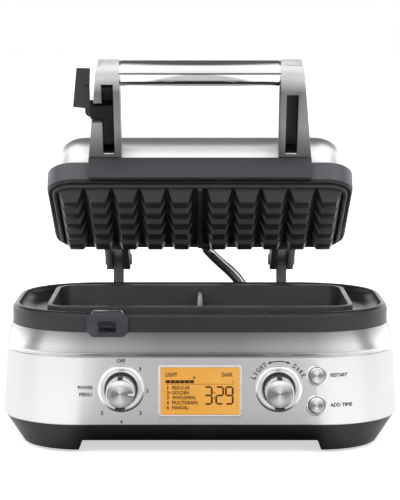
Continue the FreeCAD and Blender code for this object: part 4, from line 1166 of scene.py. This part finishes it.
def build_floor():
    size = 30.0
    verts = [(-size, -size, 0), (size, -size, 0), (size, size, 0), (-size, size, 0)]
    mesh = mesh_of("floor", verts, [(0, 1, 2, 3)])
    floor = placed("floor", mesh)
    mat, tree, shader = material("floor_white", (0.93, 0.93, 0.93), 0.6)
    mix_colour(tree, shader, noise(tree, 3.0), (0.92, 0.92, 0.92), (0.94, 0.94, 0.94))
    shader.inputs["Emission Color"].default_value = (1, 1, 1, 1)
    shader.inputs["Emission Strength"].default_value = FLOOR_GLOW
    # Bounced light sees a dimmer floor with painted shade and painted dark reflections.
    dim = add(tree, "BsdfDiffuse")
    places = axes(tree, "Object")
    across = ramp_node(tree, map_range(tree, absolute(tree, places["X"]), 0, 0.2), FLOOR_ACROSS)
    reach = map_range(tree, places["Y"], -5, 0)
    near = blend_colours(tree, across, ramp_node(tree, reach, FLOOR_NEAR), "LIGHTEN")
    tree.links.new(multiply(tree, near, ramp_node(tree, reach, FLOOR_FAR)), dim.inputs["Color"])
    direct_only(tree, dim.outputs["BSDF"], shader.outputs["BSDF"])
    mesh.materials.append(mat)


def direct_only(tree, bounced, seen):
    """Use one shader for what the camera sees directly and a dimmer one for bounced light."""
    path = add(tree, "LightPath")
    choose = add(tree, "MixShader")
    tree.links.new(path.outputs["Is Camera Ray"], choose.inputs["Fac"])
    tree.links.new(bounced, choose.inputs[1])
    tree.links.new(seen, choose.inputs[2])
    tree.links.new(choose.outputs["Shader"], tree.nodes["Material Output"].inputs["Surface"])


def build_world():
    """White studio with dark cards at both sides, dim straight overhead and high up behind."""
    world = bpy.data.worlds.new("studio")
    bpy.context.scene.world = world
    world.use_nodes = True
    tree = world.node_tree
    background = tree.nodes["Background"]
    way = axes(tree, "Generated")
    level = add(tree, "CombineXYZ")
    tree.links.new(way["X"], level.inputs["X"])
    tree.links.new(way["Y"], level.inputs["Y"])
    length = add(tree, "VectorMath", operation="LENGTH")
    tree.links.new(level.outputs["Vector"], length.inputs[0])
    across = add(tree, "Math", operation="DIVIDE")
    tree.links.new(way["Y"], across.inputs[0])
    tree.links.new(length.outputs["Value"], across.inputs[1])
    share = map_range(tree, across.outputs["Value"], -1.0, 1.0)
    behind = map_range(tree, across.outputs["Value"], 0.1, 0.5)
    front_level = ramp_node(tree, way["Z"], FRONT_LEVELS)
    rear_level = ramp_node(tree, way["Z"], REAR_LEVELS)
    up_level = blend_colours(tree, front_level, rear_level, share=behind)
    around = ramp_node(tree, share, AZIMUTH_LEVELS)
    cards = blend_colours(tree, around, ramp_node(tree, way["Z"], CARD_TOP), "LIGHTEN")
    studio = multiply(tree, cards, up_level)
    seen = add(tree, "LightPath")
    choose = add(tree, "Mix", data_type="RGBA")
    choose.inputs["B"].default_value = (1, 1, 1, 1)
    tree.links.new(seen.outputs["Is Camera Ray"], choose.inputs["Factor"])
    tree.links.new(studio, choose.inputs["A"])
    tree.links.new(choose.outputs["Result"], background.inputs["Color"])
    background.inputs["Strength"].default_value = 1.0


# Levels of the studio that reflections see, by share of the way from the front round to the back
AZIMUTH_LEVELS = ((0.0, 0.95), (0.03, 1.0), (0.10, 1.1), (0.3, 1.1), (0.40, 0.35), (0.5, 0.35),
                  (0.6, 1.0), (1.0, 1.0))
# Levels by height, from the horizon to straight up
FRONT_LEVELS = ((0.0, 1.0), (0.35, 1.1), (0.9, 1.1), (0.97, 0.2), (1.0, 0.1))
REAR_LEVELS = ((0.0, 1.7), (0.28, 1.5), (0.42, 0.16), (1.0, 0.1))
CARD_TOP = ((0.0, 0.0), (0.3, 0.0), (0.5, 1.0), (1.0, 1.0))
# Levels of the floor that reflections see, painted darker as shade and dark reflections: a dark strip down
# the middle, shade next to the object and a dark stretch far in front. They take the lighter of ACROSS, by
# distance to either side up to
# 0.2 m, and NEAR, by y from -5 m to 0, times FAR, by y over the same stretch
FLOOR_ACROSS = ((0.0, 0.03), (0.45, 0.03), (0.66, 0.95), (1.0, 0.95))
FLOOR_NEAR = ((0.0, 0.9), (0.9, 0.5), (0.955, 0.5), (0.975, 0.0), (1.0, 0.0))
FLOOR_FAR = ((0.0, 0.12), (0.72, 0.12), (0.80, 1.0), (1.0, 1.0))
FLOOR_GLOW = 0.6
LIGHTS = (
    ("key", (-1.3, -1.5, 1.5), 1.2, 1.0, 9),
    ("fill", (1.4, -1.3, 1.2), 1.2, 1.0, 7),
    ("top", (0.0, 0.2, 2.0), 1.6, 1.6, 20),
)


def build_lights():
    target = Vector((0, MIDDLE_Y, 0.15))
    for name, place, wide, tall, watts in LIGHTS:
        data = bpy.data.lights.new(name, "AREA")
        data.shape = "RECTANGLE"
        data.size = wide
        data.size_y = tall
        data.energy = watts
        light = placed(name, data)
        light.location = place
        light.visible_glossy = False
        light.rotation_euler = (target - Vector(place)).to_track_quat("-Z", "Y").to_euler()


def build_camera():
    data = bpy.data.cameras.new("camera")
    data.lens = 135.4
    data.sensor_width = 36
    camera = placed("camera", data)
    camera.location = (0, -1.6128, 0.3386)
    camera.rotation_euler = (math.radians(90 - 6.49), 0, 0)
    bpy.context.scene.camera = camera
    bpy.context.scene.view_settings.view_transform = "Standard"


build_tray()
build_housing()
build_band()
build_rim()
build_socket()
build_lower_plate()
build_upper_plate()
build_skirt()
build_clips()
build_slot_ends()
build_cover()
build_handle()
build_hinges()
build_conduit()
build_display()
build_dials()
build_buttons()
build_legends()
build_inside()
build_floor()
build_world()
build_lights()
build_camera()
